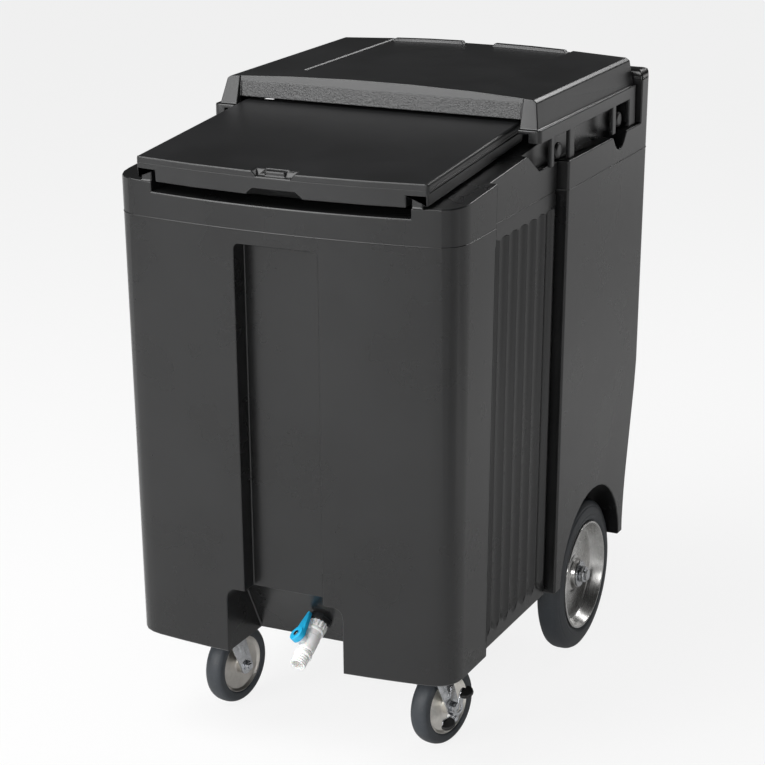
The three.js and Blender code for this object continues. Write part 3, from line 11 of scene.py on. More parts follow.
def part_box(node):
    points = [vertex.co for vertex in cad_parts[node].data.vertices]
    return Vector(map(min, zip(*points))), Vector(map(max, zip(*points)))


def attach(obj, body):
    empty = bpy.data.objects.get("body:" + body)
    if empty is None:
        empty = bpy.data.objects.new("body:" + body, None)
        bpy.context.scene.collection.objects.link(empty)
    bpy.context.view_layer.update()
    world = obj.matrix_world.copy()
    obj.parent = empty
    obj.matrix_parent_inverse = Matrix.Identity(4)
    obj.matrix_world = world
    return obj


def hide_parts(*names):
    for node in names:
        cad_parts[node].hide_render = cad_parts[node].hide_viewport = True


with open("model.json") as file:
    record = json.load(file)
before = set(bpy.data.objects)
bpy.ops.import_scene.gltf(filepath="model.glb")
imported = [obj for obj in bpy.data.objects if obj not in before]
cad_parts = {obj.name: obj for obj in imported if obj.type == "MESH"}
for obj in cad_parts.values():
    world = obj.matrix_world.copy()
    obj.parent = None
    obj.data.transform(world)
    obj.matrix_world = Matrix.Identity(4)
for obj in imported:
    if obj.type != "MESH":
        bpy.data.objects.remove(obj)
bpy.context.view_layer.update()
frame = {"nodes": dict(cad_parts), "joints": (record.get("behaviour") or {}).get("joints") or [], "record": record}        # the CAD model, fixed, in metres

mm = 0.001
nodes = frame["nodes"]


print("frame loaded,", len(nodes), "nodes")


# shader maths: a Wire is one value in a node tree, and its operators add the Math nodes
class Wire:
    def __init__(self, graph, socket):
        self.graph = graph
        self.socket = socket

    def maths(self, operation, *others):
        return self.graph.maths(operation, self, *others)

    def __add__(self, other):
        return self.maths("ADD", other)

    def __radd__(self, other):
        return self.graph.maths("ADD", other, self)

    def __sub__(self, other):
        return self.maths("SUBTRACT", other)

    def __rsub__(self, other):
        return self.graph.maths("SUBTRACT", other, self)

    def __mul__(self, other):
        return self.maths("MULTIPLY", other)

    def __rmul__(self, other):
        return self.graph.maths("MULTIPLY", other, self)

    def __pow__(self, other):
        return self.maths("POWER", other)

    def rise(self, low, high, fromValue=0.0, toValue=1.0):
        # goes smoothly from one value to the other while this one goes from low to high
        settings = {"interpolation_type": "SMOOTHSTEP"}
        return self.graph.add("ShaderNodeMapRange", settings, [self, low, high, fromValue, toValue])

    def inside(self, low, high, edge):
        # 1 between low and high, and 0 outside, with a soft edge
        return self.rise(low - edge, low + edge) * (1 - self.rise(high - edge, high + edge))


class Graph:
    # a node tree, of a material or of the world
    def __init__(self, tree):
        self.tree = tree

    def add(self, kind, settings=None, sockets=None, out=0):
        # one node: its settings first, then its sockets by place or by name, each a value or a Wire
        node = self.tree.nodes.new(kind)
        for setting, value in (settings or {}).items():
            setattr(node, setting, value)
        pairs = sockets.items() if isinstance(sockets, dict) else enumerate(sockets or [])
        for socket, value in pairs:
            if isinstance(value, Wire):
                self.tree.links.new(value.socket, node.inputs[socket])
            else:
                node.inputs[socket].default_value = value
        return Wire(self, node.outputs[out])

    def maths(self, operation, *values):
        return self.add("ShaderNodeMath", {"operation": operation}, values)

    def axes(self, spot):
        return [self.add("ShaderNodeSeparateXYZ", None, [spot], out) for out in range(3)]


class Recipe(Graph):
    # a material about one Principled shader
    def __init__(self, name, fixed):
        self.material = bpy.data.materials.new(name)
        self.material.use_nodes = True
        super().__init__(self.material.node_tree)
        self.tree.nodes.clear()
        self.shader = self.tree.nodes.new("ShaderNodeBsdfPrincipled")
        self.output = self.tree.nodes.new("ShaderNodeOutputMaterial")
        self.tree.links.new(self.shader.outputs[0], self.output.inputs["Surface"])
        for socket, value in fixed.items():
            self.shader.inputs[socket].default_value = value

    def feed(self, socket, wire):
        self.tree.links.new(wire.socket, self.shader.inputs[socket])

    def spot(self, centre=(0, 0, 0), turn=(0, 0, 0), stretch=(1, 1, 1)):
        # object coordinates about a centre, turned and stretched
        here = self.add("ShaderNodeTexCoord", out="Object")
        mapping = {"Vector": here, "Location": centre, "Rotation": turn, "Scale": stretch}
        return self.add("ShaderNodeMapping", {"vector_type": "TEXTURE"}, mapping)

    def noise(self, spot, scale, detail=2.0, roughness=0.5):
        sockets = {"Vector": spot, "Scale": scale, "Detail": detail, "Roughness": roughness}
        return self.add("ShaderNodeTexNoise", None, sockets)

    def cells(self, spot, scale):
        return self.add("ShaderNodeTexVoronoi", None, {"Vector": spot, "Scale": scale}, "Distance")

    def mix(self, share, first, second):
        return self.add("ShaderNodeMix", {"data_type": "RGBA"}, {0: share, 6: first, 7: second}, 2)

    def dent(self, height):
        # height is in metres
        bump = self.add("ShaderNodeBump", None, {"Height": height, "Distance": 1.0, "Strength": 1.0})
        self.feed("Normal", bump)


def shade(level, tint=(1.0, 1.0, 1.0)):
    return (level * tint[0], level * tint[1], level * tint[2], 1.0)


def tones(recipe, cloud, look):
    # the base colour, from the first to the second share of its level as the cloud rises
    first, second = (shade(look["level"] * share, look["tint"]) for share in look["shares"])
    return recipe.mix(cloud.rise(*look["cloudRange"]), first, second)


def gloss(look, *noises):
    # the roughness about its middle, varied by each noise in its own spread
    varied = noises[0] * look["spreads"][0]
    for noise, spread in zip(noises[1:], look["spreads"][1:]):
        varied = varied + noise * spread
    return varied + (look["roughness"] - sum(look["spreads"]) / 2)


# in every look a noise is given as its scale, detail and roughness, and heights are in metres
plasticLook = {
    "level": 0.0105, "tint": (0.97, 0.99, 1.03), "shares": (0.8, 1.2), "ior": 1.5,
    "roughness": 0.33, "spreads": (0.1,), "cloud": (7.0, 4.0, 0.6), "cloudRange": (0.3, 0.7),
    "speckScale": 30.0, "speckSize": (0.0132, 0.022), "speckLevel": 0.09, "speckShare": 0.5,
    "grain": (850.0,), "grainHeight": 0.014 * mm, "peel": (42.0, 1.0), "peelHeight": 0.05 * mm,
    "wave": (5.0, 0.0), "waveHeight": 0.9 * mm,
}


def mouldedPlastic(name, centre, changes=None, stipple=None):
    # moulded black plastic: slow waves, a faint peel and a fine grain, cloudy gloss and a few specks
    look = {**plasticLook, **(changes or {})}
    recipe = Recipe(name, {"IOR": look["ior"]})
    spot = recipe.spot(centre)
    cloud = recipe.noise(spot, *look["cloud"])
    speckled = (1 - recipe.cells(spot, look["speckScale"]).rise(*look["speckSize"])) * look["speckShare"]
    recipe.feed("Base Color", recipe.mix(speckled, tones(recipe, cloud, look), shade(look["speckLevel"])))
    height = recipe.noise(spot, *look["grain"]) * look["grainHeight"]
    height = height + recipe.noise(spot, *look["peel"]) * look["peelHeight"]
    height = height + recipe.noise(spot, *look["wave"]) * look["waveHeight"]
    roughness = gloss(look, cloud)
    if stipple:
        # a coarse stipple on one band of the piece, in the frame's own coordinates
        x, y, z = recipe.axes(recipe.spot())
        edge = stipple["edge"]
        band = z.inside(*stipple["height"], edge) * y.inside(*stipple["depth"], edge)
        band = band * x.inside(-stipple["side"], stipple["side"], edge)
        height = height + band * recipe.noise(spot, *stipple["noise"]) * stipple["rise"]
        roughness = roughness + band * stipple["roughness"]
    recipe.feed("Roughness", roughness)
    recipe.dent(height)
    return recipe.material


rubberLook = {
    "level": 0.046, "tint": (0.84, 0.97, 1.13), "shares": (0.82, 1.15), "ior": 1.52,
    "roughness": 0.5, "spreads": (0.14,), "cloud": (22.0, 5.0, 0.65), "cloudRange": (0.3, 0.7),
    "dust": (140.0, 3.0, 0.7), "dustRange": (0.55, 0.8), "dustShare": 0.35, "dustLevel": 2.0,
    "grain": (700.0,), "grainHeight": 0.02 * mm, "peel": (60.0, 1.0), "peelHeight": 0.04 * mm,
}


def wheelRubber(name, centre, changes=None):
    # grey-blue solid rubber with a cloudy gloss and a little dust
    look = {**rubberLook, **(changes or {})}
    recipe = Recipe(name, {"IOR": look["ior"]})
    spot = recipe.spot(centre)
    cloud = recipe.noise(spot, *look["cloud"])
    dust = recipe.noise(spot, *look["dust"]).rise(*look["dustRange"]) * look["dustShare"]
    dusty = shade(look["level"] * look["dustLevel"])
    recipe.feed("Base Color", recipe.mix(dust, tones(recipe, cloud, look), dusty))
    recipe.feed("Roughness", gloss(look, cloud))
    grain = recipe.noise(spot, *look["grain"]) * look["grainHeight"]
    recipe.dent(grain + recipe.noise(spot, *look["peel"]) * look["peelHeight"])
    return recipe.material


spunLook = {
    "level": 0.62, "tint": (1.0, 0.99, 0.97), "shares": (0.86, 1.08), "roughness": 0.28,
    "spreads": (0.16, 0.12), "cloud": (30.0, 4.0, 0.6), "cloudRange": (0.35, 0.65),
    "cloudHeight": 0.02 * mm, "rings": (900.0, 2.0, 0.6), "ringHeight": 0.004 * mm,
    "ringDrift": 0.5, "turn": 0.0,
}


def spunMetal(name, centre, changes=None):
    # turned metal: fine rings about the turned X axis through the centre, and a cloudy polish
    look = {**spunLook, **(changes or {})}
    recipe = Recipe(name, {"Metallic": 1.0})
    spot = recipe.spot(centre, (0, 0, look["turn"]))
    x, y, z = recipe.axes(spot)
    radius = (y * y + z * z) ** 0.5
    ring = recipe.add("ShaderNodeCombineXYZ", None, [radius, x * look["ringDrift"], 0.0])
    lathe = recipe.noise(ring, *look["rings"])
    cloud = recipe.noise(spot, *look["cloud"])
    recipe.feed("Base Color", tones(recipe, cloud, look))
    recipe.feed("Roughness", gloss(look, lathe, cloud))
    recipe.dent(lathe * look["ringHeight"] + cloud * look["cloudHeight"])
    return recipe.material


steelLook = {
    "level": 0.68, "tint": (0.97, 0.99, 1.02), "shares": (1.0, 0.72), "roughness": 0.24,
    "spreads": (0.22, 0.1), "cloud": (75.0, 4.0, 0.6), "cloudRange": (0.35, 0.7),
    "cloudHeight": 0.05 * mm, "drawn": (420.0, 3.0, 0.6), "stretch": (1.0, 1.0, 14.0),
    "drawnHeight": 0.006 * mm,
}


def platedSteel(name, centre):
    # bright plated steel: a cloudy polish, drawn marks and a few dull spots
    look = steelLook
    recipe = Recipe(name, {"Metallic": 1.0})
    drawn = recipe.noise(recipe.spot(centre, stretch=look["stretch"]), *look["drawn"])
    cloud = recipe.noise(recipe.spot(centre), *look["cloud"])
    recipe.feed("Base Color", tones(recipe, cloud, look))
    recipe.feed("Roughness", gloss(look, cloud, drawn))
    recipe.dent(drawn * look["drawnHeight"] + cloud * look["cloudHeight"])
    return recipe.material


colouredLook = {
    "shares": (0.93, 1.04), "ior": 1.49, "glowDepth": 3 * mm, "roughness": 0.34, "spreads": (0.12,),
    "cloud": (60.0, 3.0, 0.6), "cloudRange": (0.3, 0.7), "cloudHeight": 0.05 * mm,
    "grain": (900.0,), "grainHeight": 0.006 * mm,
}


def colouredPlastic(name, centre, level, tint, glow=0.0):
    # smooth injection-moulded plastic in a colour, a little uneven in tone and gloss
    look = {**colouredLook, "level": level, "tint": tint}
    fixed = {"IOR": look["ior"], "Subsurface Weight": glow, "Subsurface Scale": look["glowDepth"]}
    recipe = Recipe(name, fixed)
    spot = recipe.spot(centre)
    cloud = recipe.noise(spot, *look["cloud"])
    recipe.feed("Base Color", tones(recipe, cloud, look))
    recipe.feed("Roughness", gloss(look, cloud))
    recipe.dent(recipe.noise(spot, *look["grain"]) * look["grainHeight"] + cloud * look["cloudHeight"])
    return recipe.material


# meshes: a surface is a grid of points, or a copy of a CAD solid with its edges rounded
cornerRule = {"share": 0.48, "steps": 4}


def softened(profile, radius):
    # each corner P is cut back to A and B, and the curve (1-t)^2 A + 2t(1-t) P + t^2 B takes its place
    corners = np.asarray(profile, float)
    behind = np.roll(corners, 1, axis=0) - corners
    ahead = np.roll(corners, -1, axis=0) - corners
    behindLength = np.linalg.norm(behind, axis=1, keepdims=True)
    aheadLength = np.linalg.norm(ahead, axis=1, keepdims=True)
    reach = np.broadcast_to(np.asarray(radius, float).reshape(-1, 1), behindLength.shape)
    share = cornerRule["share"]
    start = corners + behind / behindLength * np.minimum(reach, share * behindLength)
    end = corners + ahead / aheadLength * np.minimum(reach, share * aheadLength)
    t = np.linspace(0, 1, cornerRule["steps"])[:, None, None]
    curve = (1 - t) ** 2 * start + 2 * t * (1 - t) * corners + t ** 2 * end
    return curve.transpose(1, 0, 2).reshape(-1, 2)


def turnedGrid(profile, sides, ripple=None):
    # (radius, along) turned about the X axis: point (i, j) is (x_i, r_i sin a_j, r_i cos a_j)
    radius, along = np.asarray(profile, float).T
    angle = np.arange(sides) * 2 * np.pi / sides
    reach = radius[:, None] * np.ones(sides)
    if ripple is not None:
        reach = reach + ripple(radius[:, None], along[:, None], angle[None, :])
    return np.stack([along[:, None] + 0 * reach, reach * np.sin(angle), reach * np.cos(angle)], axis=-1)


def patches(grid, closeRows=True, capped=False):
    # the grid's points and its faces, four corners each, and one face over each open end when capped;
    # its columns always close
    rows, columns = grid.shape[:2]
    row = np.arange(rows if closeRows else rows - 1)[:, None]
    column = np.arange(columns)[None, :]
    nextRow, nextColumn = (row + 1) % rows, (column + 1) % columns
    corners = [row * columns + column, row * columns + nextColumn]
    corners += [nextRow * columns + nextColumn, nextRow * columns + column]
    faces = np.stack(np.broadcast_arrays(*corners), axis=-1).reshape(-1, 4).tolist()
    if capped:
        faces.append(list(range(columns))[::-1])
        faces.append(list(range((rows - 1) * columns, rows * columns)))
    return grid.reshape(-1, 3), faces


def moved(points, place):
    # points turned and moved by a 4 by 4 matrix
    matrix = np.array(place)
    return points @ matrix[:3, :3].T + matrix[:3, 3]


joinedWithin = 0.004 * mm


def newPiece(name, surfaces, place, sharp=35.0):
    # one mesh from several surfaces in mm, doubles merged, faces outward, smooth but for its sharp edges
    points, faces, start = [], [], 0
    for surfacePoints, surfaceFaces in surfaces:
        points.append(surfacePoints)
        faces += [[corner + start for corner in face] for face in surfaceFaces]
        start += len(surfacePoints)
    spots = moved(np.concatenate(points) * mm, place)
    mesh = bpy.data.meshes.new(name)
    mesh.from_pydata(spots.tolist(), [], faces)
    work = bmesh.new()
    work.from_mesh(mesh)
    bmesh.ops.remove_doubles(work, verts=work.verts, dist=joinedWithin)
    bmesh.ops.recalc_face_normals(work, faces=work.faces)
    work.to_mesh(mesh)
    work.free()
    mesh.shade_smooth()
    mesh.set_sharp_from_angle(angle=math.radians(sharp))
    piece = bpy.data.objects.new(name, mesh)
    bpy.context.scene.collection.objects.link(piece)
    return piece


def settled(mesh, surface, reach):
    # a bevel's stray corners, farther from the solid's surface than its roundings are, go back to it
    for vertex in mesh.vertices:
        spot, distance = surface.find_nearest(vertex.co)[::3]
        if distance > reach:
            vertex.co = spot


# edges sharper than an angle are rounded, and triangles within another angle join into one face
bevelRule = {
    "angle": math.radians(28), "flat": math.radians(0.6), "joinedWithin": 0.01 * mm, "stray": 0.45,
}


def roundedCopy(node, name, width, segments=2, fine=()):
    # a CAD solid's copy: its triangles merged into flat faces, and its edges rounded by a bevel,
    # narrower inside the boxes that fine gives
    mesh = nodes[node].data.copy()
    mesh.name = name
    work = bmesh.new()
    work.from_mesh(mesh)
    bmesh.ops.remove_doubles(work, verts=work.verts, dist=bevelRule["joinedWithin"])
    limits = {"angle_limit": bevelRule["flat"], "verts": work.verts, "edges": work.edges}
    bmesh.ops.dissolve_limit(work, use_dissolve_boundaries=False, delimit=set(), **limits)
    angles = np.array([edge.calc_face_angle(0.0) for edge in work.edges])
    middles = np.array([(edge.verts[0].co + edge.verts[1].co) / 2 for edge in work.edges])
    surface = BVHTree.FromBMesh(work)
    work.to_mesh(mesh)
    work.free()
    weight = np.where(angles > bevelRule["angle"], 1.0, 0.0)
    for box in fine:
        within = np.all((np.abs(middles) > box["low"]) & (np.abs(middles) < box["high"]), axis=1)
        weight = np.where(within, weight * box["share"], weight)
    stored = mesh.attributes.new("bevel_weight_edge", "FLOAT", "EDGE")
    stored.data.foreach_set("value", weight.astype(np.float32))
    mesh.shade_smooth()
    piece = bpy.data.objects.new(name, mesh)
    bpy.context.scene.collection.objects.link(piece)
    bevel = piece.modifiers.new("rounded edges", "BEVEL")
    bevel.width = width * mm
    bevel.segments = segments
    bevel.limit_method = "WEIGHT"
    bevel.use_clamp_overlap = False
    evaluated = piece.evaluated_get(bpy.context.evaluated_depsgraph_get())
    rounded = bpy.data.meshes.new_from_object(evaluated)
    settled(rounded, surface, bevelRule["stray"] * width * mm)
    piece.modifiers.clear()
    piece.data = rounded
    weighted = piece.modifiers.new("even shading", "WEIGHTED_NORMAL")
    weighted.keep_sharp = True
    return piece


def dress(piece, body, material, slot, *replaced):
    # rides on a body, takes a finish, and stands for CAD nodes where some are named
    piece.data.materials.clear()
    piece.data.materials.append(material)
    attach(piece, body)
    if replaced:
        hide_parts(*replaced)
    return piece


# the camera stands where the photograph was taken from
view = {
    "azimuth": 25.33037716, "elevation": 17.46278254, "roll": -0.20817732,
    "place": (1.52209, -3.257714, 1.618823), "lens": 111.16, "sensor": 36.0, "clip": (0.05, 200.0),
}


def makeCamera():
    azimuth, elevation, roll = (math.radians(view[key]) for key in ("azimuth", "elevation", "roll"))
    reach = math.cos(elevation)
    back = Vector((math.sin(azimuth) * reach, -math.cos(azimuth) * reach, math.sin(elevation)))
    level = (-back).cross(Vector((0, 0, 1))).normalized()
    up = level.cross(-back)
    right = level * math.cos(roll) + up * math.sin(roll)
    top = up * math.cos(roll) - level * math.sin(roll)
    data = bpy.data.cameras.new("camera")
    data.lens, data.sensor_width, data.sensor_fit = view["lens"], view["sensor"], "AUTO"
    data.clip_start, data.clip_end = view["clip"]
    camera = bpy.data.objects.new("camera", data)
    bpy.context.scene.collection.objects.link(camera)
    camera.matrix_world = Matrix((right, top, back)).transposed().to_4x4()
    camera.location = view["place"]
    bpy.context.scene.camera = camera


makeCamera()


studio = {
    "horizon": 0.0509, "sky": 0.0356, "skyFrom": 0.3,
    "floorLevel": 0.78, "floorSeen": 0.86, "floorMirroredNear": 0.2, "floorMirroredFar": 1.0,
    "near": 2.2, "far": 7.0, "floorSize": 120.0, "paper": (40.0, 3.0), "paperShare": 0.98,
    "cards": [{"low": (-60, -60), "high": (-1.6, -2.0), "edge": 0.4, "level": 0.8},
              {"low": (1.2, -0.4), "high": (60, 0.7), "edge": 0.25, "level": 0.9}],
    "lamps": {
        "overhead": {"place": (-1.2, -1.3, 3.2), "aim": (0, -0.1, 0.6), "size": (2.2, 2.8), "power": 120},
        "front": {"place": (-1.9, -4.1, 1.75), "aim": (0, -0.05, 0.95), "size": (2.6, 1.75),
                  "power": 112},
        "low": {"place": (1.1, -2.9, 1.5), "aim": (0.05, -0.35, 0.12), "size": (0.6, 0.4),
                "power": 26},
        "rear": {"place": (0.85, 2.5, 2.35), "aim": (0.1, 0, 0.9), "size": (1.6, 0.5), "power": 20},
    },
}


def softbox(name, setup):
    data = bpy.data.lights.new(name, "AREA")
    data.shape = "RECTANGLE"
    data.size, data.size_y = setup["size"]
    data.energy = setup["power"]
    lamp = bpy.data.objects.new(name, data)
    bpy.context.scene.collection.objects.link(lamp)
    lamp.location = setup["place"]
    lamp.rotation_euler = (Vector(setup["aim"]) - lamp.location).to_track_quat("-Z", "Y").to_euler()


def makeFloor():
    # the floor is pale paper; the camera, metal and glass see it nearly white, with the shadow kept,
    # and what is mirrored of it is whiter farther out and on two cards that only mirrors show
    half = studio["floorSize"] / 2
    mesh = bpy.data.meshes.new("floor")
    corners = [(-half, -half, 0), (half, -half, 0), (half, half, 0), (-half, half, 0)]
    mesh.from_pydata(corners, [], [(0, 1, 2, 3)])
    floor = bpy.data.objects.new("floor", mesh)
    bpy.context.scene.collection.objects.link(floor)
    recipe = Recipe("floor paper", {"Roughness": 0.9, "Specular IOR Level": 0.0})
    spot = recipe.spot()
    x, y = recipe.axes(spot)[:2]
    paper = recipe.noise(spot, *studio["paper"])
    dark, pale = shade(studio["floorLevel"] * studio["paperShare"]), shade(studio["floorLevel"])
    recipe.feed("Base Color", recipe.mix(paper, dark, pale))
    mirroredLevel = (studio["floorMirroredNear"], studio["floorMirroredFar"])
    mirrored = ((x * x + y * y) ** 0.5).rise(studio["near"], studio["far"], *mirroredLevel)
    for card in studio["cards"]:
        (left, front), (right, back) = card["low"], card["high"]
        onCard = x.inside(left, right, card["edge"]) * y.inside(front, back, card["edge"])
        mirrored = mirrored.maths("MAXIMUM", onCard * card["level"])
    rays = ("Is Camera Ray", "Is Glossy Ray", "Is Transmission Ray")
    camera, glossy, through = (recipe.add("ShaderNodeLightPath", out=ray) for ray in rays)
    seen = (camera * studio["floorSeen"]).maths("MAXIMUM", glossy.maths("MAXIMUM", through) * mirrored)
    lit = Wire(recipe, recipe.shader.outputs[0])
    white = recipe.add("ShaderNodeEmission", None, {"Color": (1, 1, 1, 1), "Strength": 1.0})
    shown = recipe.add("ShaderNodeMixShader", None, {0: seen, 1: lit, 2: white})
    recipe.tree.links.new(shown.socket, recipe.output.inputs["Surface"])
    mesh.materials.append(recipe.material)


def makeWorld():
    # the world is bright at the horizon and dim above it, and white to the camera
    world = bpy.data.worlds.new("studio")
    bpy.context.scene.world = world
    world.use_nodes = True
    sky = Graph(world.node_tree)
    height = sky.axes(sky.add("ShaderNodeTexCoord", out="Generated"))[2]
    light = height.rise(0.0, studio["skyFrom"], studio["horizon"], studio["sky"])
    strength = light.maths("MAXIMUM", sky.add("ShaderNodeLightPath", out="Is Camera Ray"))
    backdrop = sky.tree.nodes["Background"]
    backdrop.inputs["Color"].default_value = (1, 1, 1, 1)
    sky.tree.links.new(strength.socket, backdrop.inputs["Strength"])


def makeStudio():
    makeFloor()
    for name, setup in studio["lamps"].items():
        softbox(name, setup)
    makeWorld()
    bpy.context.scene.view_settings.view_transform = "Standard"


makeStudio()
print("camera and studio made")


# each CAD node's finish and body, by its record, and the finishes themselves
slotOf = {part["node"]: part["material_slot"] for part in frame["record"]["subparts"]}
bodyOf = {node: body for body, names in frame["record"]["behaviour"]["bodies"].items() for node in names}
rearAxle = (0, 203 * mm, 127 * mm)
middle = (0, 0, 0.5)
valveMiddle = (0, -0.33, 0.18)
coverStipple = {
    "height": (928 * mm, 966 * mm), "depth": (-80 * mm, -52 * mm), "side": 234 * mm, "edge": 1.5 * mm,
    "noise": (330.0, 2.0, 0.7), "rise": 0.8 * mm, "roughness": -0.06,
}
plastics = {
    "body": {"level": 0.0075, "roughness": 0.28},
    "lid": {"level": 0.011, "roughness": 0.38, "waveHeight": 0.4 * mm},
    "knob": {"level": 0.008, "roughness": 0.3, "waveHeight": 0.0},
    "fitting": {"level": 0.02, "waveHeight": 0.0},
    "bush": {"level": 0.014, "roughness": 0.5, "waveHeight": 0.0},
    "shelf": {"level": 0.02, "waveHeight": 0.2 * mm},
}
coverLook = {"level": 0.013, "waveHeight": 0.5 * mm}
padLook = {"level": 0.006, "tint": (1, 1, 1), "grainHeight": 0.1 * mm}
finishes = {
    **{f"{name}_plastic": mouldedPlastic(f"{name} plastic", middle, look)
       for name, look in plastics.items()},
    "cover_plastic": mouldedPlastic("cover plastic", middle, coverLook, coverStipple),
    "valve_plastic": colouredPlastic("valve plastic", valveMiddle, 0.86, (1.0, 1.0, 0.985), glow=0.08),
    "lever_plastic": colouredPlastic("lever plastic", valveMiddle, 0.7, (0.03, 0.62, 1.05)),
    "gasket_rubber": wheelRubber("gasket rubber", (0, -0.3, 0.2), {"level": 0.012}),
    "pad_rubber": wheelRubber("pad rubber", (0.2, -0.27, 0.09), padLook),
    "wheel_rubber": wheelRubber("wheel rubber", (0, 0, 0.1)),
    "wheel_alloy": spunMetal("wheel alloy", rearAxle),
    "core_metal": spunMetal("core metal", (0, 0, 0.0635), {"tint": (1.02, 0.99, 0.95)}),
    "zinc_steel": platedSteel("zinc steel", (0, 0, 0.1)),
}


def finishNodes():
    # every CAD node takes the finish of its slot
    for name, node in nodes.items():
        node.data.materials.clear()
        node.data.materials.append(finishes[slotOf[name]])


finishNodes()
print("CAD nodes finished")


# places of the turning pieces: the frame's joints give their centres and axes
joints = {joint["name"]: joint for joint in frame["joints"]}


def framedOn(along, up, centre):
    # local X along one direction, local Z as near to the other as it can be, at a centre
    x = Vector(along).normalized()
    y = Vector(up).cross(x).normalized()
    place = Matrix((x, y, x.cross(y))).transposed().to_4x4()
    place.translation = Vector(centre)
    return place


def wheelPlace(name, side=1):
    # a wheel's centre, with local X along its axle towards one side and local Z up
    joint = joints[name]
    return framedOn(Vector(joint["axis"]) * side, (0, 0, 1), joint["pos_m"])


def lathed(name, profile, radius, sides, place, ripple=None, sharp=40.0):
    # a closed profile of (radius, along), its corners softened, turned about local X
    return newPiece(name, [patches(turnedGrid(softened(profile, radius), sides, ripple))], place, sharp)


def mirrored(half):
    # a half profile and its mirror image across the wheel's middle
    return half + [(radius, -along) for radius, along in reversed(half)]


def nutGrid(radius, bore, start, thickness, chamfer, trim=0.96, sides=72):
    # a hexagon's reach at an angle is its flat over the cosine of the angle from that flat's middle,
    # and a cone trims its corners at both faces
    flat = radius * math.cos(math.pi / 6)
    angle = np.arange(sides) * 2 * np.pi / sides
    reach = flat / np.cos(angle % (np.pi / 3) - np.pi / 6)
    end = start + thickness
    along = np.array([start, start, start + chamfer, end - chamfer, end, end])
    cone = np.array([bore, flat * trim, radius, radius, flat * trim, bore])
    reach = np.minimum(reach, cone[:, None])
    return np.stack([along[:, None] + 0 * reach, reach * np.sin(angle), reach * np.cos(angle)], axis=-1)


# rear wheels: a solid tyre with a moulded line on each wall, on a spun dish with a rolled lip
rearWheel = {
    "tyreHalf": [(91.0, 18.0), (97.0, 21.7), (101.0, 22.0), (102.0, 21.1), (104.0, 21.5), (114.0, 19.4),
                 (115.4, 18.2), (117.4, 18.0), (123.6, 14.2), (126.2, 9.4), (127.0, 4.5)],
    "rim": [(15.3, -20.0), (25.0, -20.0), (25.0, -4.0), (78.0, -4.0), (86.7, -19.0), (90.7, -19.0),
            (90.7, 21.1), (89.8, 22.0), (87.2, 22.0), (86.0, 18.6), (79.5, 2.6), (76.0, 0.0), (33.0, 0.0),
            (28.5, 2.6), (25.0, 3.0), (23.4, 11.0), (15.3, 11.0)],
    "rimRadius": [0.5, 2.0, 2.0, 6.0, 4.0, 0.6, 0.5, 0.7, 0.9, 2.5, 6.0, 4.0, 3.0, 2.5, 1.5, 1.0, 0.5],
    "washer": [(9.9, 11.6), (21.4, 11.6), (22.0, 12.2), (22.0, 13.2), (21.4, 13.8), (9.9, 13.8)],
    "nut": {"radius": 15.0, "bore": 9.8, "start": 14.1, "thickness": 8.5, "chamfer": 1.3},
    "tyreSoftening": 1.2, "washerSoftening": 0.3, "sides": 144, "washerSides": 72, "sharp": 60,
}


def makeRearWheels():
    # tyre, rim, washer and nut on each side, the right one's outer face towards +X
    rubber, alloy, zinc = (finishes[slot] for slot in ("wheel_rubber", "wheel_alloy", "zinc_steel"))
    tyreLine, tyreSoftening = mirrored(rearWheel["tyreHalf"]), rearWheel["tyreSoftening"]
    rimLine, rimRadius = rearWheel["rim"], rearWheel["rimRadius"]
    washerLine, washerSoftening = rearWheel["washer"], rearWheel["washerSoftening"]
    sides, washerSides, sharp = rearWheel["sides"], rearWheel["washerSides"], rearWheel["sharp"]
    for side, sign in (("right", 1), ("left", -1)):
        wheel, place = f"{side}_rear_wheel", wheelPlace(f"{side}_rear_roll", sign)
        tyre = lathed(f"rear_tyre_{side}_moulded", tyreLine, tyreSoftening, sides, place, sharp=sharp)
        dress(tyre, wheel, rubber, "wheel_rubber", f"rear_tyre_{side}")
        rim = lathed(f"rear_rim_{side}_spun", rimLine, rimRadius, sides, place, sharp=sharp)
        dress(rim, wheel, alloy, "wheel_alloy", f"rear_rim_{side}")
        washer = lathed(f"rear_washer_{side}_pressed", washerLine, washerSoftening, washerSides, place)
        dress(washer, "tub", zinc, "zinc_steel", f"rear_washer_{side}")
        nut = newPiece(f"rear_nut_{side}_chamfered", [patches(nutGrid(**rearWheel["nut"]))], place)
        dress(nut, "tub", zinc, "zinc_steel", f"rear_nut_{side}")


makeRearWheels()
print("rear wheels made")


# front casters: a grey tyre on a plated core, with the axle's nut
caster = {
    "tyreHalf": [(46.0, 14.0), (47.6, 15.3), (52.0, 15.5), (57.6, 14.9), (61.2, 11.6), (63.0, 7.0),
                 (63.5, 3.0)],
    "coreHalf": [(8.8, 18.9), (12.4, 18.9), (13.1, 17.6), (13.6, 10.4), (16.5, 9.2), (37.0, 9.0),
                 (41.2, 9.4), (44.4, 13.4), (45.7, 13.7)],
    "nut": {"radius": 9.0, "bore": 5.2, "start": 23.8, "thickness": 5.0, "chamfer": 0.8},
    "tyreSoftening": 1.6, "coreSoftening": 0.9, "sides": 112, "sharp": 60,
    # the two cores are lit and shaded copies of one plated metal: the right one is painted lighter as a
    # painted reflection of brighter surroundings, and the left one is painted darker as painted shade
    "metal": {"right": {"level": 0.86, "tint": (1.03, 1.0, 0.94), "roughness": 0.42},
              "left": {"level": 0.62, "tint": (1.03, 0.99, 0.93), "roughness": 0.4}},
}


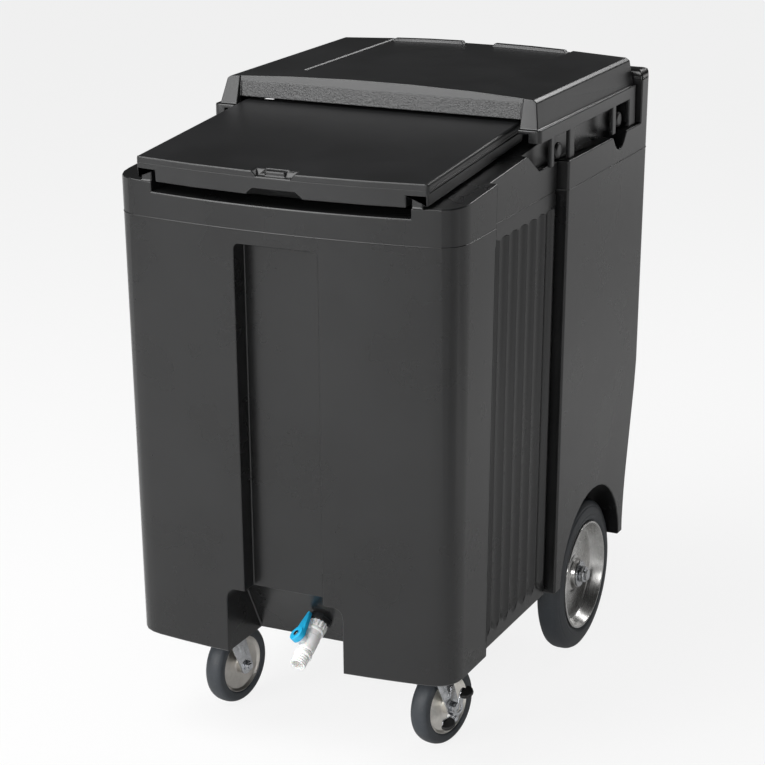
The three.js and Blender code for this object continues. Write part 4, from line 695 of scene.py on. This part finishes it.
def makeCasters():
    sides, sharp = caster["sides"], caster["sharp"]
    rubber, zinc = finishes["wheel_rubber"], finishes["zinc_steel"]
    tyreLine, tyreSoftening = mirrored(caster["tyreHalf"]), caster["tyreSoftening"]
    coreLine, coreSoftening = mirrored(caster["coreHalf"]), caster["coreSoftening"]
    for side in ("right", "left"):
        wheel, place = f"{side}_front_wheel", wheelPlace(f"{side}_caster_roll")
        joint = joints[f"{side}_caster_roll"]
        tyre = lathed(f"caster_tyre_{side}_moulded", tyreLine, tyreSoftening, sides, place, sharp=sharp)
        dress(tyre, wheel, rubber, "wheel_rubber", f"caster_tyre_{side}")
        # each core takes its side's copy of the metal, painted lighter on the right and darker on the
        # left
        turned = {"turn": math.atan2(joint["axis"][1], joint["axis"][0]), **caster["metal"][side]}
        metal = spunMetal(f"core metal {side}", tuple(joint["pos_m"]), turned)
        core = lathed(f"caster_core_{side}_plated", coreLine, coreSoftening, sides, place, sharp=sharp)
        dress(core, wheel, metal, "core_metal", f"caster_core_{side}")
        nut = newPiece(f"caster_nut_{side}_chamfered", [patches(nutGrid(**caster["nut"]))], place)
        dress(nut, f"{side}_swivel", zinc, "zinc_steel", f"caster_axle_nut_{side}")


makeCasters()
print("casters made")


# drain valve in its own frame from the ball's centre: local X along the flow, local Z up the stem
valve = {
    "tilt": math.radians(29.15),
    "union": [(10.8, -40.3), (14.4, -40.3), (15.5, -39.0), (15.5, -29.8), (14.4, -28.3), (10.8, -28.3)],
    "unionRibs": 14, "unionRibDepth": 1.5, "unionSteepness": 1.8, "unionFrom": 13.0,
    "body": [(8.0, -27.9), (14.2, -27.9), (15.0, -27.0), (15.0, -24.0), (14.2, -22.6), (13.1, -21.8),
             (13.1, -13.5), (13.5, -12.6), (13.5, 12.4), (13.1, 13.2), (12.4, 14.2), (12.4, 15.6),
             (13.4, 16.4), (13.4, 18.0), (8.0, 18.0)],
    "boss": [(0.0, 8.0), (8.6, 8.0), (8.0, 14.0), (8.0, 17.8), (7.0, 19.0), (0.0, 19.0)],
    "spout": [(8.5, 18.5), (13.3, 18.5), (14.0, 19.2), (14.0, 22.6), (13.3, 23.3), (11.4, 24.0),
              (11.4, 38.4), (12.0, 39.0), (12.0, 40.3), (9.4, 40.3), (8.5, 39.2)],
    "threadPitch": 4.4, "threadDepth": 1.0, "threadStart": 24.5, "threadEnd": 38.0, "threadFade": 2.0,
    "threadFrom": 11.0, "threadStep": 0.5, "threadSharp": 60,
    "unionSoftening": 0.6, "softening": 0.5, "bossSoftening": [0, 0.8, 1, 0.8, 0.8, 0],
    "unionSides": 224, "sides": 112, "bossSides": 64,
}


def aboutStem(grid):
    # a surface turned about local X is stood up about local Z
    return np.stack([-grid[..., 2], grid[..., 1], grid[..., 0]], axis=-1)


def unionRipple(radius, along, angle):
    # a cosine for each rib, clipped to flat lands and grooves, on the outside alone
    wave = np.clip(np.cos(angle * valve["unionRibs"]) * valve["unionSteepness"], -1, 1)
    return np.where(radius > valve["unionFrom"], valve["unionRibDepth"] * (wave - 1) / 2, 0)


def threadRipple(radius, along, angle):
    # a cosine that climbs one pitch in each turn, fading out at both ends, on the outside alone
    wave = np.cos((along / valve["threadPitch"] - angle / (2 * np.pi)) * 2 * np.pi)
    fade = np.clip((along - valve["threadStart"]) / valve["threadFade"], 0, 1)
    fade = fade * np.clip((valve["threadEnd"] - along) / valve["threadFade"], 0, 1)
    return np.where(radius > valve["threadFrom"], valve["threadDepth"] * (wave + 1) / 2 * fade, 0)


def stretched(profile, longest):
    # the same closed profile, with points added so that no stretch of it is longer than asked
    points = np.asarray(profile, float)
    ends = np.roll(points, -1, axis=0)
    counts = np.maximum(1, np.ceil(np.linalg.norm(ends - points, axis=1) / longest)).astype(int)
    start = np.repeat(points, counts, axis=0)
    step = np.arange(counts.sum()) - np.repeat(np.cumsum(counts) - counts, counts)
    share = step / np.repeat(counts, counts)
    return start + (np.repeat(ends, counts, axis=0) - start) * share[:, None]


def makeValve():
    stem = joints["valve_turn"]
    flow = (0, -math.cos(valve["tilt"]), -math.sin(valve["tilt"]))
    place = framedOn(flow, stem["axis"], stem["pos_m"])
    white, sides = finishes["valve_plastic"], valve["sides"]
    unionSoftening, unionSides = valve["unionSoftening"], valve["unionSides"]
    union = lathed("valve_union_ribbed", valve["union"], unionSoftening, unionSides, place, unionRipple)
    dress(union, "tub", white, "valve_plastic", "valve_union_nut")
    barrel = turnedGrid(softened(valve["body"], valve["softening"]), sides)
    boss = aboutStem(turnedGrid(softened(valve["boss"], valve["bossSoftening"]), valve["bossSides"]))
    body = newPiece("valve_body_moulded", [patches(barrel), patches(boss, closeRows=False)], place)
    dress(body, "tub", white, "valve_plastic", "valve_body")
    spoutLine = stretched(softened(valve["spout"], valve["softening"]), valve["threadStep"])
    tube = turnedGrid(spoutLine, sides, threadRipple)
    spout = newPiece("outlet_spout_threaded", [patches(tube)], place, valve["threadSharp"])
    dress(spout, "tub", white, "valve_plastic", "outlet_spout")
    return place


valvePlace = makeValve()


# lever: a slab in the outline of two circles, with a raised ring round its screw
lever = {
    "eye": 12.5, "tip": 3.2, "length": 41.8, "low": 19.3, "high": 25.6, "edge": 1.0,
    "ring": [(5.2, 24.6), (5.2, 28.2), (6.0, 29.0), (11.6, 29.0), (12.4, 28.2), (12.5, 19.6),
             (12.2, 19.3), (3.8, 19.3), (3.8, 24.6)],
    "softening": 0.5, "ringSides": 80,
}


def hullOutline(big, small, length, steps=24):
    # the outline that two circles share with their tangents: one about the origin, one at -length
    lean = math.acos((big - small) / length)
    first = np.linspace(-np.pi + lean, np.pi - lean, steps * 3)
    second = np.linspace(np.pi - lean, np.pi + lean, steps)
    bigArc = np.stack([big * np.cos(first), big * np.sin(first)], axis=-1)
    smallArc = np.stack([small * np.cos(second) - length, small * np.sin(second)], axis=-1)
    return np.concatenate([bigArc, smallArc])


def slabGrid(outline, low, high, edge, steps=5):
    # the outline at inset e(1 - sin t) and height low + e(1 - cos t), and the same mirrored at the top
    t = np.linspace(0, np.pi / 2, steps)
    inset = np.concatenate([edge * (1 - np.sin(t)), edge * (1 - np.cos(t))])
    height = np.concatenate([low + edge * (1 - np.cos(t)), high - edge * (1 - np.sin(t))])
    rings = []
    for value, level in zip(inset, height):
        ring = outline(value)
        rings.append(np.column_stack([ring, np.full(len(ring), level)]))
    return np.stack(rings)


def makeLever():
    def outline(inset):
        return hullOutline(lever["eye"] - inset, lever["tip"] - inset, lever["length"])

    rings = slabGrid(outline, lever["low"], lever["high"], lever["edge"])
    slab = patches(rings, closeRows=False, capped=True)
    ring = patches(aboutStem(turnedGrid(softened(lever["ring"], lever["softening"]), lever["ringSides"])))
    piece = newPiece("valve_lever_moulded", [slab, ring], valvePlace)
    dress(piece, "valve_handle", finishes["lever_plastic"], "lever_plastic", "valve_lever")


makeLever()
print("valve made")


# cover knobs: turned, with a domed head
knob = {
    "profile": [(0.0, 242.3), (6.0, 242.3), (6.0, 260.0), (11.8, 260.0), (13.0, 261.0), (13.0, 263.2),
                (11.4, 265.2), (8.0, 266.0), (0.0, 266.0)],
    "softening": [0, 0.3, 1.2, 0.6, 0.6, 0.9, 0.9, 1.5, 0], "sides": 64,
}


def makeKnobs():
    # each stands on its CAD node's place, with its profile measured from the bin's middle
    grid = turnedGrid(softened(knob["profile"], knob["softening"]), knob["sides"])
    surface = patches(grid, closeRows=False)
    for side, sign in (("right", 1), ("left", -1)):
        for end in ("front", "rear"):
            low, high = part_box(f"cover_knob_{end}_{side}")
            y, z = ((low + high) / 2)[1:]
            place = framedOn((sign, 0, 0), (0, 0, 1), (0, y, z))
            piece = newPiece(f"cover_knob_{end}_{side}_turned", [surface], place)
            dress(piece, "tub", finishes["knob_plastic"], "knob_plastic", f"cover_knob_{end}_{side}")


makeKnobs()
print("knobs made")


# parting lines: fine ridges round the body and the lid, where their moulds came apart
partingLines = {
    "body_shell": {"name": "body_parting_line", "middle": (0, 0), "height": 821.0, "slope": 0.0,
                   "reach": 0.9},
    "sliding_lid": {"name": "lid_parting_line", "middle": (0, -200.0), "height": 927.5, "slope": 4.5,
                    "reach": 0.5},
}
rayRule = {"bearings": 1440, "parallel": 1e-9, "slack": 1e-6, "ridgeSides": 6, "sharp": 80}


def cutOutline(node, line):
    # a solid's outermost outline on a sloping plane: for each bearing from the middle, the farthest
    # crossing of the edges that the plane cuts
    flat = Matrix.Rotation(math.radians(-line["slope"]), 4, "X")
    work = bmesh.new()
    work.from_mesh(nodes[node].data)
    work.transform(flat)
    plane = {"plane_co": (0, 0, line["height"] * mm), "plane_no": (0, 0, 1)}
    solid = work.verts[:] + work.edges[:] + work.faces[:]
    cut = bmesh.ops.bisect_plane(work, geom=solid, **plane)["geom_cut"]
    edges = [edge for edge in cut if isinstance(edge, bmesh.types.BMEdge)]
    ends = np.array([[vertex.co[:2] for vertex in edge.verts] for edge in edges]) / mm - line["middle"]
    work.free()
    start, along = ends[:, 0], ends[:, 1] - ends[:, 0]
    angle = np.arange(rayRule["bearings"]) * 2 * np.pi / rayRule["bearings"]
    ray = np.stack([np.cos(angle), np.sin(angle)], axis=-1)[:, None]
    slope = ray[..., 0] * along[:, 1] - ray[..., 1] * along[:, 0]
    slope = np.where(np.abs(slope) < rayRule["parallel"], rayRule["parallel"], slope)
    distance = (start[:, 0] * along[:, 1] - start[:, 1] * along[:, 0]) / slope
    share = (start[:, 0] * ray[..., 1] - start[:, 1] * ray[..., 0]) / slope
    crossed = (share >= -rayRule["slack"]) & (share <= 1 + rayRule["slack"])
    farthest = np.where(crossed, distance, 0).max(axis=1)
    return ray[:, 0] * farthest[:, None] + line["middle"]


def makePartingLines():
    # a small circle carried round each outline: outward by reach cos u, and up by reach sin u
    turn = np.arange(rayRule["ridgeSides"]) * 2 * np.pi / rayRule["ridgeSides"]
    for node, line in partingLines.items():
        outline = cutOutline(node, line)
        along = np.roll(outline, -1, axis=0) - np.roll(outline, 1, axis=0)
        outward = np.stack([along[:, 1], -along[:, 0]], axis=-1)
        outward = outward / np.linalg.norm(along, axis=1, keepdims=True)
        place = outline[:, None] + outward[:, None] * (line["reach"] * np.cos(turn))[None, :, None]
        height = line["height"] + line["reach"] * np.sin(turn)[None] + np.zeros((len(outline), 1))
        grid = np.concatenate([place, height[..., None]], axis=-1)
        tilt = Matrix.Rotation(math.radians(line["slope"]), 4, "X")
        ridge = newPiece(line["name"], [patches(grid)], tilt, rayRule["sharp"])
        dress(ridge, bodyOf[node], finishes[slotOf[node]], slotOf[node])


makePartingLines()
print("parting lines made")


# mouldings, pressings and bolts whose CAD shape is right: the same solid with its edges rounded,
# by a width in mm and a number of steps
rounding = {
    "body_shell": (2.2, 3), "sliding_lid": (2.2, 3), "rear_cover": (1.6, 2), "drain_shelf": (0.6, 1),
    "bulkhead_nut": (0.6, 2), "lever_screw": (0.4, 2),
    "brake_pedal": (0.5, 2), "brake_tread_upper": (1.2, 3), "brake_tread_lower": (1.2, 3),
    "axle_bracket_left": (0.6, 2), "axle_bracket_right": (0.6, 2),
    "caster_fork_left": (0.9, 2), "caster_fork_right": (0.9, 2),
    "caster_race_left": (0.8, 2), "caster_race_right": (0.8, 2),
    "caster_plate_left": (0.6, 2), "caster_plate_right": (0.6, 2),
    "caster_axle_bolt_left": (0.5, 2), "caster_axle_bolt_right": (0.5, 2),
    **{f"caster_bolt_{side}_{number}": (0.5, 1) for side in ("left", "right") for number in (1, 2, 3, 4)},
}


# narrower rounding for the flutes' ridges, which are only 1.6 mm wide, for the body's lower edge,
# which has narrow facets, and for the lid's thumb notch
fineEdges = {
    "body_shell": [{"low": (0.235, -0.001, 0.1705), "high": (0.272, 0.24, 0.8), "share": 0.28},
                   {"low": (-0.001, -0.001, 0.15), "high": (0.3, 0.45, 0.1705), "share": 0.25}],
    "sliding_lid": [{"low": (-0.001, 0.3, 0.8), "high": (0.06, 0.383, 1.0), "share": 0.3}],
}


def makeRounded():
    # a rounded copy stands for each node that is named above
    for node, (width, segments) in rounding.items():
        piece = roundedCopy(node, node + "_rounded", width, segments, fineEdges.get(node, ()))
        dress(piece, bodyOf[node], finishes[slotOf[node]], slotOf[node], node)


makeRounded()
print("edges rounded")
